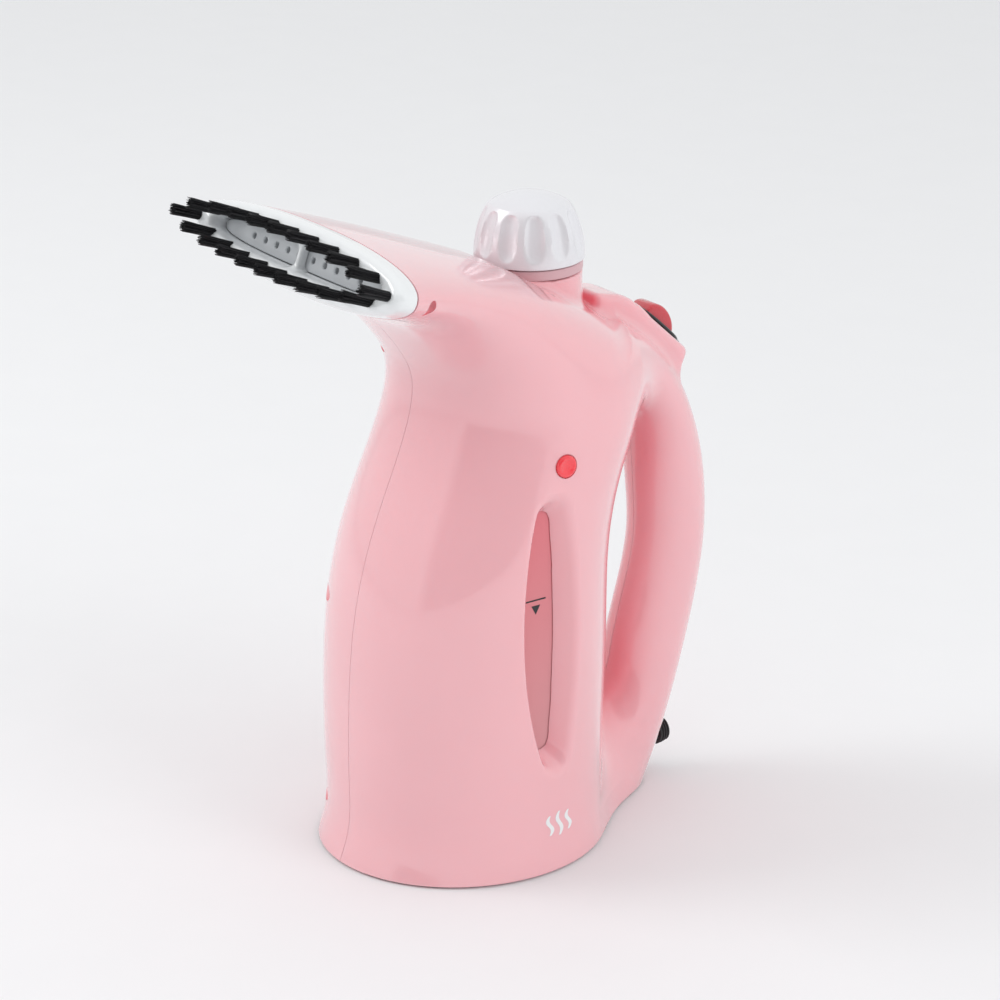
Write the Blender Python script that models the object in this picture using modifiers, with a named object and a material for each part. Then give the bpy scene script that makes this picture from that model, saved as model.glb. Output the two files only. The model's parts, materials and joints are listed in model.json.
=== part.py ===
"""Handheld garment steamer, built as separate pieces in metres, +Z up.

The nozzle looks along -Y and the handle is on the +Y side. The object's left side is +X.
The origin is on the ground, under the middle of the bounding box.
"""
import math

import bmesh
import bpy
from mathutils import Matrix, Vector

# General sizes
GAP = 0.0003
WALL = 0.0025
SEAM_GAP = 0.00015
RING_POINTS = 28
GRIP_POINTS = 18

# Body and head sections: front point (y, z), rear or top point (y, z), half width, squareness.
# They stand level in the body and tip forward one by one into the plane of the nozzle.
BODY_SECTIONS = [
    ((-0.0718, 0.0010), (0.0450, 0.0010), 0.0554, 2.00),
    ((-0.0680, 0.0120), (0.0430, 0.0120), 0.0538, 2.05),
    ((-0.0668, 0.0320), (0.0415, 0.0320), 0.0528, 2.15),
    ((-0.0663, 0.0680), (0.0415, 0.0680), 0.0538, 2.20),
    ((-0.0634, 0.1000), (0.0415, 0.1000), 0.0542, 2.20),
    ((-0.0573, 0.1260), (0.0430, 0.1280), 0.0530, 2.20),
    ((-0.0495, 0.1470), (0.0500, 0.1540), 0.0510, 2.20),
    ((-0.0415, 0.1660), (0.0580, 0.1790), 0.0495, 2.20),
    ((-0.0364, 0.1820), (0.0520, 0.2005), 0.0475, 2.20),
    ((-0.0360, 0.1945), (0.0300, 0.2165), 0.0465, 2.20),
    ((-0.0420, 0.2065), (0.0040, 0.2315), 0.0475, 2.20),
    ((-0.0520, 0.2185), (-0.0200, 0.2415), 0.0520, 2.20),
    ((-0.0660, 0.2285), (-0.0480, 0.2515), 0.0600, 2.25),
    ((-0.0841, 0.2354), (-0.0749, 0.2598), 0.0695, 2.30),
]
# Handle sections: inner point, outer point, half width, squareness.
HANDLE_SECTIONS = [
    ((0.0360, 0.1680), (0.0540, 0.2010), 0.0280, 2.2),
    ((0.0500, 0.1680), (0.0680, 0.1945), 0.0235, 2.2),
    ((0.0612, 0.1632), (0.0830, 0.1790), 0.0195, 2.15),
    ((0.0682, 0.1495), (0.0945, 0.1580), 0.0172, 2.1),
    ((0.0705, 0.1280), (0.1018, 0.1340), 0.0155, 2.1),
    ((0.0710, 0.1055), (0.1038, 0.1040), 0.0145, 2.1),
    ((0.0663, 0.0835), (0.0998, 0.0770), 0.0145, 2.1),
    ((0.0610, 0.0630), (0.0935, 0.0535), 0.0150, 2.1),
    ((0.0535, 0.0420), (0.0860, 0.0310), 0.0160, 2.1),
    ((0.0300, 0.0180), (0.0803, 0.0140), 0.0170, 2.1),
    ((0.0220, 0.0010), (0.0745, 0.0010), 0.0170, 2.1),
]

# Filler neck and cap, turned about a vertical axis
NECK_Y = 0.0189
NECK_RADIUS = 0.0204
NECK_TOP = 0.2274
CAP_RIM_Z = 0.2320
CAP_RADIUS = 0.0214
CAP_DISC_RADIUS = 0.0150
CAP_DISC_Z = 0.2545
CAP_TOP_Z = 0.2566
CAP_CROWN_RADIUS = 0.0060
FLUTES = 12
FLUTE_DEPTH = 0.0016
PLUG_RADIUS = 0.0112
PLUG_BOTTOM = 0.2100
POCKET_RADIUS = 0.0227
POCKET_FLOOR = 0.2268
TANK_NECK_RADIUS = 0.0150
TANK_NECK_BORE = 0.0122
TANK_NECK_TOP = 0.2265

# Nozzle: a long flat oval, square to an axis that looks forward and a little up
NOZZLE_TILT = math.radians(20.8)
NOZZLE_AXIS = Vector((0.0, -math.cos(NOZZLE_TILT), math.sin(NOZZLE_TILT)))
NOZZLE_UP = Vector((0.0, math.sin(NOZZLE_TILT), math.cos(NOZZLE_TILT)))
NOZZLE_BACK = Vector((0.0, -0.0795, 0.2476))
NOZZLE_FRAME = Matrix.Translation(NOZZLE_BACK) @ Matrix((
    (1.0, NOZZLE_UP.x, NOZZLE_AXIS.x),
    (0.0, NOZZLE_UP.y, NOZZLE_AXIS.y),
    (0.0, NOZZLE_UP.z, NOZZLE_AXIS.z),
)).to_4x4()
NOZZLE_HALF_LENGTH = 0.0695
NOZZLE_HALF_HEIGHT = 0.0130
BRUSH_DEPTH = 0.0095
BRUSH_OPENING = (0.0560, 0.0046)
OPENING_POWER = 3.0
TUFT_ROW = (0.0640, 0.0080)
TUFT_RADIUS = 0.0016
TUFT_LENGTH = 0.0130
TUFT_SOCKET = 0.0030
TUFT_SPREAD = 0.0004
TUFT_ROW_X = (-0.0542, -0.0404, -0.0270, -0.0134, 0.0, 0.0134, 0.0270, 0.0404, 0.0542)
STEAM_HOLES_EACH_SIDE = 5
STEAM_HOLE_PITCH = 0.0078
STEAM_HOLE_RADIUS = 0.0012
SPIGOT_INSET = (0.0054, 0.0036)
SPIGOT_DEPTH = 0.0040
PLATE_INSET = (0.0070, 0.0036)
PLATE_BACK = -0.0075
PLATE_FACE = -0.0043
ISLAND_TOP = 0.0022
ISLAND_GAP = 0.0004
BRIDGE_WIDTH = 0.0024
BRIDGE_TOP = 0.0060
PLATE_SPIGOT_RADIUS = 0.0075
PLATE_SPIGOT_BORE = 0.0045

# Rear switch pod
SWITCH_CENTRE = Vector((0.0, 0.0774, 0.1946))
SWITCH_SLOPE = math.radians(42.0)
SWITCH_DOWN = Vector((0.0, math.cos(SWITCH_SLOPE), -math.sin(SWITCH_SLOPE)))
SWITCH_OUT = Vector((0.0, math.sin(SWITCH_SLOPE), math.cos(SWITCH_SLOPE)))
POD_HALF_WIDTH = 0.0130
BEZEL_HALF = (0.0145, 0.0093)
ROCKER_TILT = math.radians(9.0)
ROCKER_HALF_LENGTH = 0.0085
ROCKER_HALF_WIDTH = 0.0057

# Left side details
# The window's clear opening is bounded by two arcs: centre (y, z) and radius
WINDOW_MIDDLE = (-0.0080, 0.0985)
WINDOW_FRONT_ARC = (0.1321, 0.0985, 0.1500)
WINDOW_REAR_ARC = (-0.5026, 0.0985, 0.5000)
WINDOW_CORNER = 0.0060
WINDOW_HALF = (0.0074, 0.0500)
# Its rounded lip: how far the recess has widened at each x
WINDOW_LIP = [
    (0.0456, 0.0001), (0.0470, 0.0003), (0.0490, 0.0012), (0.0506, 0.0024), (0.0520, 0.0042),
    (0.0532, 0.0066), (0.0550, 0.0104), (0.0700, 0.0106),
]
WINDOW_WALL = 0.0018
SIGHT_GLASS_X = 0.0452
LENS_PLACE = Vector((0.0, 0.0003, 0.1649))
LENS_RADIUS = 0.0044
LENS_SEAT_X = 0.0489

# Housing screws: where they cross the seam plane (y, z)
HOUSING_SCREWS = [(-0.0593, 0.0170), (-0.0558, 0.1010), (-0.0318, 0.2000), (0.0875, 0.1100), (0.0640, 0.0270)]
SCREW_SEAT_X = 0.0090
SCREW_RADIUS = 0.0015
SCREW_HEAD_RADIUS = 0.0029
SCREW_POST_RADIUS = 0.0045

# Base and boiler
BASE_LOW = 0.0018
BASE_HIGH = 0.0043
BASE_SCREWS = [(0.0390, -0.0130), (-0.0390, -0.0130), (0.0, -0.0475)]
FEET = [(0.0300, -0.0400), (-0.0300, -0.0400), (0.0300, 0.0180), (-0.0300, 0.0180)]
BOILER_Y = -0.0070
BOILER_HALF = (0.0440, 0.0400)
PLATE_LOW = 0.0325
PLATE_HIGH = 0.0374
SPOUT_START = Vector((0.0, -0.0050, 0.1920))
SPOUT_END = Vector((0.0, -0.0660, 0.2460))
DUCT_RADIUS = 0.0055
DUCT_BORE = 0.0040
GLAND_PLACE = Vector((0.0, 0.0800, 0.0160))

COLOURS = {
    "pink_plastic": ((0.83, 0.38, 0.42), 0.22, 0.0),
    "white_plastic": ((0.80, 0.82, 0.84), 0.35, 0.0),
    "grey_plastic": ((0.52, 0.54, 0.56), 0.45, 0.0),
    "pearl_plastic": ((0.62, 0.62, 0.66), 0.28, 0.35),
    "bristle_black": ((0.010, 0.010, 0.012), 0.65, 0.0),
    "black_plastic": ((0.020, 0.021, 0.023), 0.40, 0.0),
    "red_clear": ((0.70, 0.030, 0.040), 0.20, 0.0),
    "collar_plastic": ((0.60, 0.40, 0.43), 0.40, 0.0),
    "tank_plastic": ((0.62, 0.48, 0.48), 0.30, 0.0),
    "silicone": ((0.70, 0.70, 0.68), 0.60, 0.0),
    "aluminium": ((0.60, 0.61, 0.62), 0.35, 1.0),
    "steel": ((0.50, 0.50, 0.51), 0.30, 1.0),
    "rubber": ((0.045, 0.045, 0.047), 0.80, 0.0),
    "ceramic": ((0.75, 0.73, 0.68), 0.55, 0.0),
    "brass": ((0.62, 0.45, 0.18), 0.30, 1.0),
}


def clear_scene():
    for item in list(bpy.data.objects):
        bpy.data.objects.remove(item, do_unlink=True)


def make_collection(name):
    group = bpy.data.collections.new(name)
    bpy.context.scene.collection.children.link(group)
    return group


def make_material(name):
    colour, roughness, metallic = COLOURS[name]
    material = bpy.data.materials.new(name)
    material.use_nodes = True
    shader = material.node_tree.nodes["Principled BSDF"]
    shader.inputs["Base Color"].default_value = (*colour, 1.0)
    shader.inputs["Roughness"].default_value = roughness
    shader.inputs["Metallic"].default_value = metallic
    return material


clear_scene()
PARTS = make_collection("garment_steamer")
CUTTERS = make_collection("cutters")
MATERIALS = {name: make_material(name) for name in COLOURS}


def add_object(name, mesh, material):
    """Link a mesh as a finished piece, or as a hidden cutter when it has no material."""
    item = bpy.data.objects.new(name, mesh)
    if material is None:
        CUTTERS.objects.link(item)
        item.hide_render = True
        item.display_type = "WIRE"
    else:
        PARTS.objects.link(item)
        mesh.materials.append(MATERIALS[material])
    return item


def mesh_from(bm, name, sharp_degrees=35.0):
    bmesh.ops.recalc_face_normals(bm, faces=bm.faces)
    mesh = bpy.data.meshes.new(name)
    bm.to_mesh(mesh)
    bm.free()
    mesh.shade_smooth()
    mesh.set_sharp_from_angle(angle=math.radians(sharp_degrees))
    return mesh


def loft(name, rings, material=None):
    """Skin a row of rings that all have the same number of points, and cap both ends."""
    bm = bmesh.new()
    rows = [[bm.verts.new(point) for point in ring] for ring in rings]
    count = len(rings[0])
    for low, high in zip(rows, rows[1:]):
        for i in range(count):
            j = (i + 1) % count
            bm.faces.new((low[i], low[j], high[j], high[i]))
    bm.faces.new(rows[0])
    bm.faces.new(rows[-1])
    return add_object(name, mesh_from(bm, name), material)


def superellipse(angle, power):
    c, s = math.cos(angle), math.sin(angle)
    return (
        math.copysign(abs(c) ** (2.0 / power), c),
        math.copysign(abs(s) ** (2.0 / power), s),
    )


def section_ring(section, points, inset=0.0):
    """Ring of a section given by two (y, z) ends, a half width across X and a squareness."""
    first, last, half_width, power = section
    a, b = Vector((0.0, *first)), Vector((0.0, *last))
    reach = (b - a).normalized() * inset
    a, b = a + reach, b - reach
    centre, arm = (a + b) / 2, (b - a) / 2
    ring = []
    for i in range(points):
        along, across = superellipse(2 * math.pi * (i + 0.5) / points, power)
        ring.append(centre + arm * along + Vector(((half_width - inset) * across, 0.0, 0.0)))
    return ring


def smooth_sections(sections, steps):
    """Catmull-Rom curve through the sections, with steps rings for each span."""
    flat = [(*first, *last, width, power) for first, last, width, power in sections]
    padded = [flat[0]] + flat + [flat[-1]]
    result = []
    for p0, p1, p2, p3 in zip(padded, padded[1:], padded[2:], padded[3:]):
        for step in range(steps):
            t = step / steps
            values = [
                b + 0.5 * ((c - a) * t + (2 * a - 5 * b + 4 * c - d) * t**2 + (3 * b - a - 3 * c + d) * t**3)
                for a, b, c, d in zip(p0, p1, p2, p3)
            ]
            result.append(values)
    result.append(list(flat[-1]))
    return [((v[0], v[1]), (v[2], v[3]), v[4], v[5]) for v in result]


def level_ring(outline, z, points):
    """Level ring from a front y, a rear y, a half width and a squareness."""
    front, rear, half_width, power = outline
    return section_ring(((front, z), (rear, z), half_width, power), points)


def flat_ellipse_ring(centre_y, half_x, half_y, z, points):
    turn = 2 * math.pi / points
    return [
        Vector((half_x * math.sin(i * turn), centre_y - half_y * math.cos(i * turn), z))
        for i in range(points)
    ]


def nozzle_loft(name, stack, points, power=2.3, material=None):
    """Oval rings (half length, half height, depth) square to the nozzle axis, in the nozzle's own frame."""
    rings = []
    for half_length, half_height, depth in stack:
        angles = [2 * math.pi * i / points for i in range(points)]
        corners = [superellipse(angle, power) for angle in angles]
        rings.append([Vector((half_length * a, half_height * b, depth)) for a, b in corners])
    item = loft(name, rings, material)
    item.matrix_world = NOZZLE_FRAME
    return item


def frame_matrix(place, z_axis):
    """Matrix that stands local Z along z_axis, with local X kept near world X."""
    z = z_axis.normalized()
    helper = Vector((1.0, 0.0, 0.0)) if abs(z.x) < 0.9 else Vector((0.0, 1.0, 0.0))
    y = z.cross(helper).normalized()
    x = y.cross(z)
    turn = Matrix((x, y, z)).transposed().to_4x4()
    return Matrix.Translation(place) @ turn


def turned(name, profile, material=None, segments=24, place=Vector(), axis=Vector((0.0, 0.0, 1.0))):
    """Solid of revolution: profile points (radius, height) run down the outer side first."""
    bm = bmesh.new()
    verts = [bm.verts.new((radius, 0.0, height)) for radius, height in profile]
    for a, b in zip(verts, verts[1:]):
        bm.edges.new((a, b))
    if profile[0][0] > 0.0 and profile[-1][0] > 0.0:
        bm.edges.new((verts[-1], verts[0]))
    mesh = bpy.data.meshes.new(name)
    bm.to_mesh(mesh)
    bm.free()
    item = add_object(name, mesh, material)
    item.matrix_world = frame_matrix(place, axis)
    screw = item.modifiers.new("turn", "SCREW")
    screw.steps = segments
    screw.render_steps = segments
    screw.use_merge_vertices = True
    screw.merge_threshold = 0.00001
    screw.use_smooth_shade = True
    return item


def rod(name, radius, start, end, material=None, segments=16):
    """Plain round bar between two points."""
    length = (end - start).length
    bm = bmesh.new()
    bmesh.ops.create_cone(
        bm, cap_ends=True, segments=segments, radius1=radius, radius2=radius, depth=length,
        matrix=Matrix.Translation((0.0, 0.0, length / 2)),
    )
    item = add_object(name, mesh_from(bm, name), material)
    item.matrix_world = frame_matrix(start, end - start)
    return item


def tube(name, radius, bore, start, end, material=None, segments=24):
    """Open round tube between two points."""
    length = (end - start).length
    profile = [(radius, length), (radius, 0.0), (bore, 0.0), (bore, length)]
    return turned(name, profile, material, segments, start, end - start)


def box(name, size, place, material=None, matrix=None, bevel=0.0):
    bm = bmesh.new()
    bmesh.ops.create_cube(bm, size=1.0)
    bmesh.ops.scale(bm, vec=Vector(size), verts=bm.verts)
    if bevel:
        bmesh.ops.bevel(bm, geom=bm.edges[:], offset=bevel, segments=2, profile=0.5, affect="EDGES")
    item = add_object(name, mesh_from(bm, name), material)
    item.matrix_world = Matrix.Translation(place) if matrix is None else matrix
    return item


def prism(name, outline, half_width, material=None, bevel=0.0):
    """Flat outline of (y, z) points, extruded both ways along X."""
    bm = bmesh.new()
    face = bm.faces.new([bm.verts.new((-half_width, y, z)) for y, z in outline])
    extruded = bmesh.ops.extrude_face_region(bm, geom=[face])
    moved = [v for v in extruded["geom"] if isinstance(v, bmesh.types.BMVert)]
    bmesh.ops.translate(bm, vec=(2 * half_width, 0.0, 0.0), verts=moved)
    if bevel:
        bmesh.ops.bevel(bm, geom=bm.edges[:], offset=bevel, segments=3, profile=0.5, affect="EDGES")
    return add_object(name, mesh_from(bm, name), material)


def boolean(target, operation, *tools):
    for tool in tools:
        modifier = target.modifiers.new(operation.lower(), "BOOLEAN")
        modifier.operation = operation
        modifier.solver = "EXACT"
        modifier.object = tool
    return target


def cut(target, *tools):
    return boolean(target, "DIFFERENCE", *tools)


def join(target, *tools):
    return boolean(target, "UNION", *tools)


def smooth_max(a, b, reach):
    near = max(reach - abs(a - b), 0.0)
    return max(a, b) + near * near / (4 * reach)


def window_distance(y, z):
    """Distance from (y, z) to the edge of the window's clear opening, with its two ends rounded."""
    front = math.hypot(y - WINDOW_FRONT_ARC[0], z - WINDOW_FRONT_ARC[1]) - WINDOW_FRONT_ARC[2]
    rear = math.hypot(y - WINDOW_REAR_ARC[0], z - WINDOW_REAR_ARC[1]) - WINDOW_REAR_ARC[2]
    sides = smooth_max(front, rear, WINDOW_CORNER)
    return smooth_max(sides, abs(z - WINDOW_MIDDLE[1]) - WINDOW_HALF[1], WINDOW_CORNER)


def window_ring(x, grow, points=32):
    """Outline of the window's opening, grown by grow, in the plane of x."""
    ring = []
    for i in range(points):
        angle = 2 * math.pi * (i + 0.5) / points
        way_y, way_z = WINDOW_HALF[0] * math.cos(angle), WINDOW_HALF[1] * math.sin(angle)
        low, high = 0.0, 3.0
        for _ in range(30):
            middle = (low + high) / 2
            y, z = WINDOW_MIDDLE[0] + middle * way_y, WINDOW_MIDDLE[1] + middle * way_z
            if window_distance(y, z) < grow:
                low = middle
            else:
                high = middle
        ring.append(at(x, WINDOW_MIDDLE[0] + low * way_y, WINDOW_MIDDLE[1] + low * way_z))
    return ring


def at(x, y, z):
    return Vector((x, y, z))


# ---------------------------------------------------------------- housing

def upright(name, radius, low, high, segments):
    """Upright bar on the axis of the filler neck."""
    return rod(name, radius, at(0, NECK_Y, low), at(0, NECK_Y, high), segments=segments)


def pod_outline(inset):
    """Side outline of the switch pod, a fin behind the filler neck."""
    half = 0.0160 - inset
    front = SWITCH_CENTRE - SWITCH_DOWN * half - SWITCH_OUT * inset
    rear = SWITCH_CENTRE + SWITCH_DOWN * half - SWITCH_OUT * inset
    return [
        (0.0430 + inset, 0.1950),
        (0.0440 + inset, 0.2145 - inset),
        (0.0590, 0.2115 - inset),
        (front.y, front.z),
        (rear.y, rear.z),
        (0.0850 - inset, 0.1740),
        (0.0560, 0.1700),
    ]


def housing_outer(name, material):
    """Outside form of the whole housing: body and head, handle, switch pod and filler neck."""
    rings = [section_ring(s, RING_POINTS) for s in smooth_sections(BODY_SECTIONS, 2)]
    body = loft(name, rings, material)
    grip_rings = [section_ring(s, GRIP_POINTS) for s in smooth_sections(HANDLE_SECTIONS, 2)]
    grip = loft(name + "_grip", grip_rings)
    pod = prism(name + "_pod", pod_outline(0.0), POD_HALF_WIDTH, bevel=0.003)
    join(body, grip, pod)
    cut(body, upright(name + "_pocket", POCKET_RADIUS, POCKET_FLOOR, 0.280, 36))
    return join(body, upright(name + "_neck", NECK_RADIUS, 0.185, NECK_TOP, 36))


def housing_cavity():
    """Room inside the housing, with the screw posts and the window wall left standing."""
    rings = [section_ring(s, RING_POINTS, WALL) for s in BODY_SECTIONS]
    below = [point + at(0, 0, -0.010) for point in rings[0]]
    ahead = [point + NOZZLE_AXIS * 0.010 for point in rings[-1]]
    cavity = loft("cavity", [below] + rings + [ahead])
    grip_rings = [section_ring(s, GRIP_POINTS, WALL) for s in HANDLE_SECTIONS]
    grip_below = [point + at(0, 0, -0.010) for point in grip_rings[-1]]
    grip = loft("cavity_grip", grip_rings + [grip_below])
    pod = prism("cavity_pod", pod_outline(WALL), POD_HALF_WIDTH - WALL)
    join(cavity, grip, pod)
    cut(cavity, upright("pocket_roof", POCKET_RADIUS + WALL, POCKET_FLOOR - WALL, 0.280, 36))
    join(cavity, upright("cavity_neck", NECK_RADIUS - WALL, 0.180, 0.240, 36))
    for index, (y, z) in enumerate(HOUSING_SCREWS):
        cut(cavity, rod(f"post_{index}", SCREW_POST_RADIUS, at(-0.08, y, z), at(0.08, y, z)))
    wall_rings = [window_ring(x, grow + WINDOW_WALL) for x, grow in WINDOW_LIP]
    return cut(cavity, loft("window_wall", wall_rings))


def housing_cutters():
    """Holes through the housing wall."""
    cutters = []
    for index, (y, z) in enumerate(HOUSING_SCREWS):
        place = f"screw_{index}"
        seat = -SCREW_SEAT_X + GAP
        sink = rod(place + "_sink", SCREW_HEAD_RADIUS + GAP, at(-0.080, y, z), at(seat, y, z))
        shank_start, shank_end = at(seat - 0.001, y, z), at(0.0098, y, z)
        shank = rod(place + "_bore", SCREW_RADIUS + GAP, shank_start, shank_end, segments=14)
        cutters += [sink, shank]
    lip_rings = [window_ring(x, grow) for x, grow in WINDOW_LIP]
    cutters.append(loft("window_cut", [window_ring(0.0400, 0.0)] + lip_rings))
    lens_way = LENS_PLACE + at(0.040, 0, 0)
    lens_seat = LENS_PLACE + at(LENS_SEAT_X, 0, 0)
    cutters.append(rod("lens_seat", LENS_RADIUS + GAP, lens_seat, lens_seat + at(0.020, 0, 0), segments=24))
    cutters.append(rod("lens_bore", 0.0036, lens_way, lens_way + at(0.030, 0, 0)))
    turn = switch_matrix()
    cutters.append(box("switch_cut", (0.0168, 0.0254, 0.030), None, matrix=turn))
    cutters.append(rod("gland_bore", 0.0048, GLAND_PLACE - at(0, 0.015, 0), GLAND_PLACE + at(0, 0.020, 0)))
    return cutters


def switch_matrix():
    """Frame of the switch: X across, Y down the slope, Z out of the pod."""
    turn = Matrix((Vector((1.0, 0.0, 0.0)), SWITCH_DOWN, SWITCH_OUT)).transposed().to_4x4()
    return Matrix.Translation(SWITCH_CENTRE) @ turn


def make_shells():
    cavity = housing_cavity()
    cutters = housing_cutters()
    for name, side in (("left_shell", 1.0), ("right_shell", -1.0)):
        shell = housing_outer(name, "pink_plastic")
        cut(shell, cavity, *cutters)
        half = box(name + "_half", (0.2, 0.4, 0.6), at(side * (0.1 + SEAM_GAP), 0.0, 0.1))
        boolean(shell, "INTERSECT", half)


def make_housing_screws():
    for index, (y, z) in enumerate(HOUSING_SCREWS):
        profile = [
            (0.0, 0.0112), (SCREW_HEAD_RADIUS, 0.0112), (SCREW_HEAD_RADIUS, SCREW_SEAT_X),
            (SCREW_RADIUS, SCREW_SEAT_X), (SCREW_RADIUS, -0.0085), (0.0, -0.0095),
        ]
        turned(f"housing_screw_{index + 1}", profile, "steel", 12, at(0, y, z), at(-1, 0, 0))


# ---------------------------------------------------------------- base

def make_base():
    levels = (BASE_LOW, BASE_HIGH)
    outline = (-0.0671, 0.0412, 0.0514, 2.0)
    plate = loft("base_plate", [level_ring(outline, z, 32) for z in levels], "pink_plastic")
    tail_outline = (0.0250, 0.0715, 0.0141, 2.1)
    tail_levels = (BASE_LOW + 0.0001, BASE_HIGH - 0.0001)
    tail = loft("base_tail", [level_ring(tail_outline, z, 20) for z in tail_levels])
    join(plate, tail)
    for index, (x, y) in enumerate(BASE_SCREWS):
        cut(plate, rod(f"base_bore_{index}", SCREW_RADIUS + GAP, at(x, y, -0.01), at(x, y, 0.02)))
        profile = [
            (0.0, 0.0140), (SCREW_RADIUS, 0.0130), (SCREW_RADIUS, BASE_LOW - GAP),
            (SCREW_HEAD_RADIUS, BASE_LOW - GAP), (SCREW_HEAD_RADIUS, GAP), (0.0, GAP),
        ]
        turned(f"base_screw_{index + 1}", profile, "steel", 12, at(x, y, 0))
    for index, (x, y) in enumerate(FEET):
        profile = [(0.0, BASE_LOW - GAP), (0.0055, BASE_LOW - GAP), (0.0050, 0.0), (0.0, 0.0)]
        turned(f"foot_{index + 1}", profile, "rubber", 20, at(x, y, 0))


# ---------------------------------------------------------------- boiler

def boiler_ring(extra, z, points=28):
    return flat_ellipse_ring(BOILER_Y, BOILER_HALF[0] + extra, BOILER_HALF[1] + extra, z, points)


def make_heater():
    skirt_rings = [boiler_ring(0.002, BASE_HIGH + GAP), boiler_ring(0.002, PLATE_LOW - GAP)]
    skirt = loft("heater_skirt", skirt_rings, "ceramic")
    for index, (x, y) in enumerate(BASE_SCREWS):
        join(skirt, rod(f"skirt_post_{index}", 0.0040, at(x, y, BASE_HIGH + 2 * GAP), at(x, y, 0.020)))
    hollow = loft("skirt_hollow", [boiler_ring(-0.0015, 0.0), boiler_ring(-0.0015, 0.040)])
    for index, (x, y) in enumerate(BASE_SCREWS):
        cut(hollow, rod(f"skirt_keep_{index}", 0.0039, at(x, y, -0.01), at(x, y, 0.0199)))
    cut(skirt, hollow)
    for index, (x, y) in enumerate(BASE_SCREWS):
        cut(skirt, rod(f"skirt_bore_{index}", SCREW_RADIUS + GAP, at(x, y, -0.01), at(x, y, 0.0145)))
    loft("heating_plate", [boiler_ring(0.002, PLATE_LOW), boiler_ring(0.002, PLATE_HIGH)], "aluminium")
    seal = loft("tank_seal", [boiler_ring(0.0005, PLATE_HIGH + GAP), boiler_ring(0.0005, 0.0397)], "silicone")
    cut(seal, loft("seal_hole", [boiler_ring(-0.0045, 0.030), boiler_ring(-0.0045, 0.050)]))
    make_heating_element()
    profile = [
        (0.0, PLATE_LOW - GAP), (0.0085, PLATE_LOW - GAP), (0.0085, PLATE_LOW - 0.0055),
        (0.0065, PLATE_LOW - 0.0055), (0.0065, PLATE_LOW - 0.0105), (0.0, PLATE_LOW - 0.0105),
    ]
    turned("thermostat", profile, "steel", 20, at(0, BOILER_Y - 0.004, 0))
    fuse = at(0, BOILER_Y + 0.016, PLATE_LOW - 0.0033)
    rod("thermal_fuse", 0.0022, fuse - at(0.007, 0, 0), fuse + at(0.007, 0, 0), "ceramic", 12)


def make_heating_element():
    """Horseshoe heating rod under the plate, with both cold ends turned down at the rear."""
    radius, level = 0.0270, PLATE_LOW - 0.0036
    points = []
    for step in range(17):
        angle = math.radians(-60 + 300 * step / 16)
        points.append((radius * math.cos(angle), BOILER_Y - radius * math.sin(angle), level))
    first, last = points[0], points[-1]
    drop = 0.016
    route = [(first[0], first[1], level - drop)] + points + [(last[0], last[1], level - drop)]
    curve = bpy.data.curves.new("heating_element", "CURVE")
    curve.dimensions = "3D"
    curve.bevel_depth = 0.0032
    curve.bevel_resolution = 2
    curve.use_fill_caps = True
    spline = curve.splines.new("POLY")
    spline.points.add(len(route) - 1)
    for target, place in zip(spline.points, route):
        target.co = (*place, 1.0)
    item = bpy.data.objects.new("heating_element", curve)
    PARTS.objects.link(item)
    curve.materials.append(MATERIALS["steel"])


TANK_SECTIONS = [
    ((-0.0495, 0.0400), (0.0355, 0.0400), 0.0460, 2.0),
    ((-0.0495, 0.0420), (0.0355, 0.0420), 0.0460, 2.0),
    ((-0.0470, 0.0432), (0.0330, 0.0432), 0.0440, 2.0),
    ((-0.0470, 0.0900), (0.0330, 0.0900), 0.0440, 2.0),
    ((-0.0450, 0.1200), (0.0340, 0.1200), 0.0435, 2.0),
    ((-0.0380, 0.1450), (0.0360, 0.1450), 0.0415, 2.0),
    ((-0.0280, 0.1650), (0.0380, 0.1650), 0.0370, 2.0),
    ((-0.0180, 0.1800), (0.0380, 0.1800), 0.0300, 2.0),
    ((-0.0100, 0.1900), (0.0370, 0.1900), 0.0240, 2.0),
    ((-0.0060, 0.1960), (0.0350, 0.1960), 0.0170, 2.0),
]


def make_tank():
    """Water tank, open below: filler neck on top, steam spout in front and sight glass on the left."""
    spout_way = (SPOUT_END - SPOUT_START).normalized()
    tank = loft("water_tank", [section_ring(s, 28) for s in TANK_SECTIONS], "tank_plastic")
    neck = rod("tank_neck", TANK_NECK_RADIUS, at(0, NECK_Y, 0.186), at(0, NECK_Y, TANK_NECK_TOP), segments=28)
    spout = rod("tank_spout", DUCT_RADIUS, SPOUT_START - spout_way * 0.004, SPOUT_START + spout_way * 0.010)
    glass = loft("sight_glass", [window_ring(x, 0.0010) for x in (0.0380, SIGHT_GLASS_X)])
    join(tank, neck, spout, glass)
    inner = [section_ring(s, 28, 0.002) for s in TANK_SECTIONS[2:]]
    inner[-1] = [point - at(0, 0, 0.002) for point in inner[-1]]
    below = [point - at(0, 0, 0.020) for point in inner[0]]
    cut(tank, loft("tank_room", [below] + inner))
    cut(tank, rod("tank_neck_bore", TANK_NECK_BORE, at(0, NECK_Y, 0.180), at(0, NECK_Y, 0.240), segments=28))
    bore_start, bore_end = SPOUT_START - spout_way * 0.012, SPOUT_START + spout_way * 0.02
    cut(tank, rod("spout_bore", DUCT_BORE - 0.001, bore_start, bore_end))
    start = SPOUT_START + spout_way * (0.010 + GAP)
    tube("steam_duct", DUCT_RADIUS, DUCT_BORE, start, SPOUT_END, "silicone", 16)


# ---------------------------------------------------------------- cap

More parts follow.
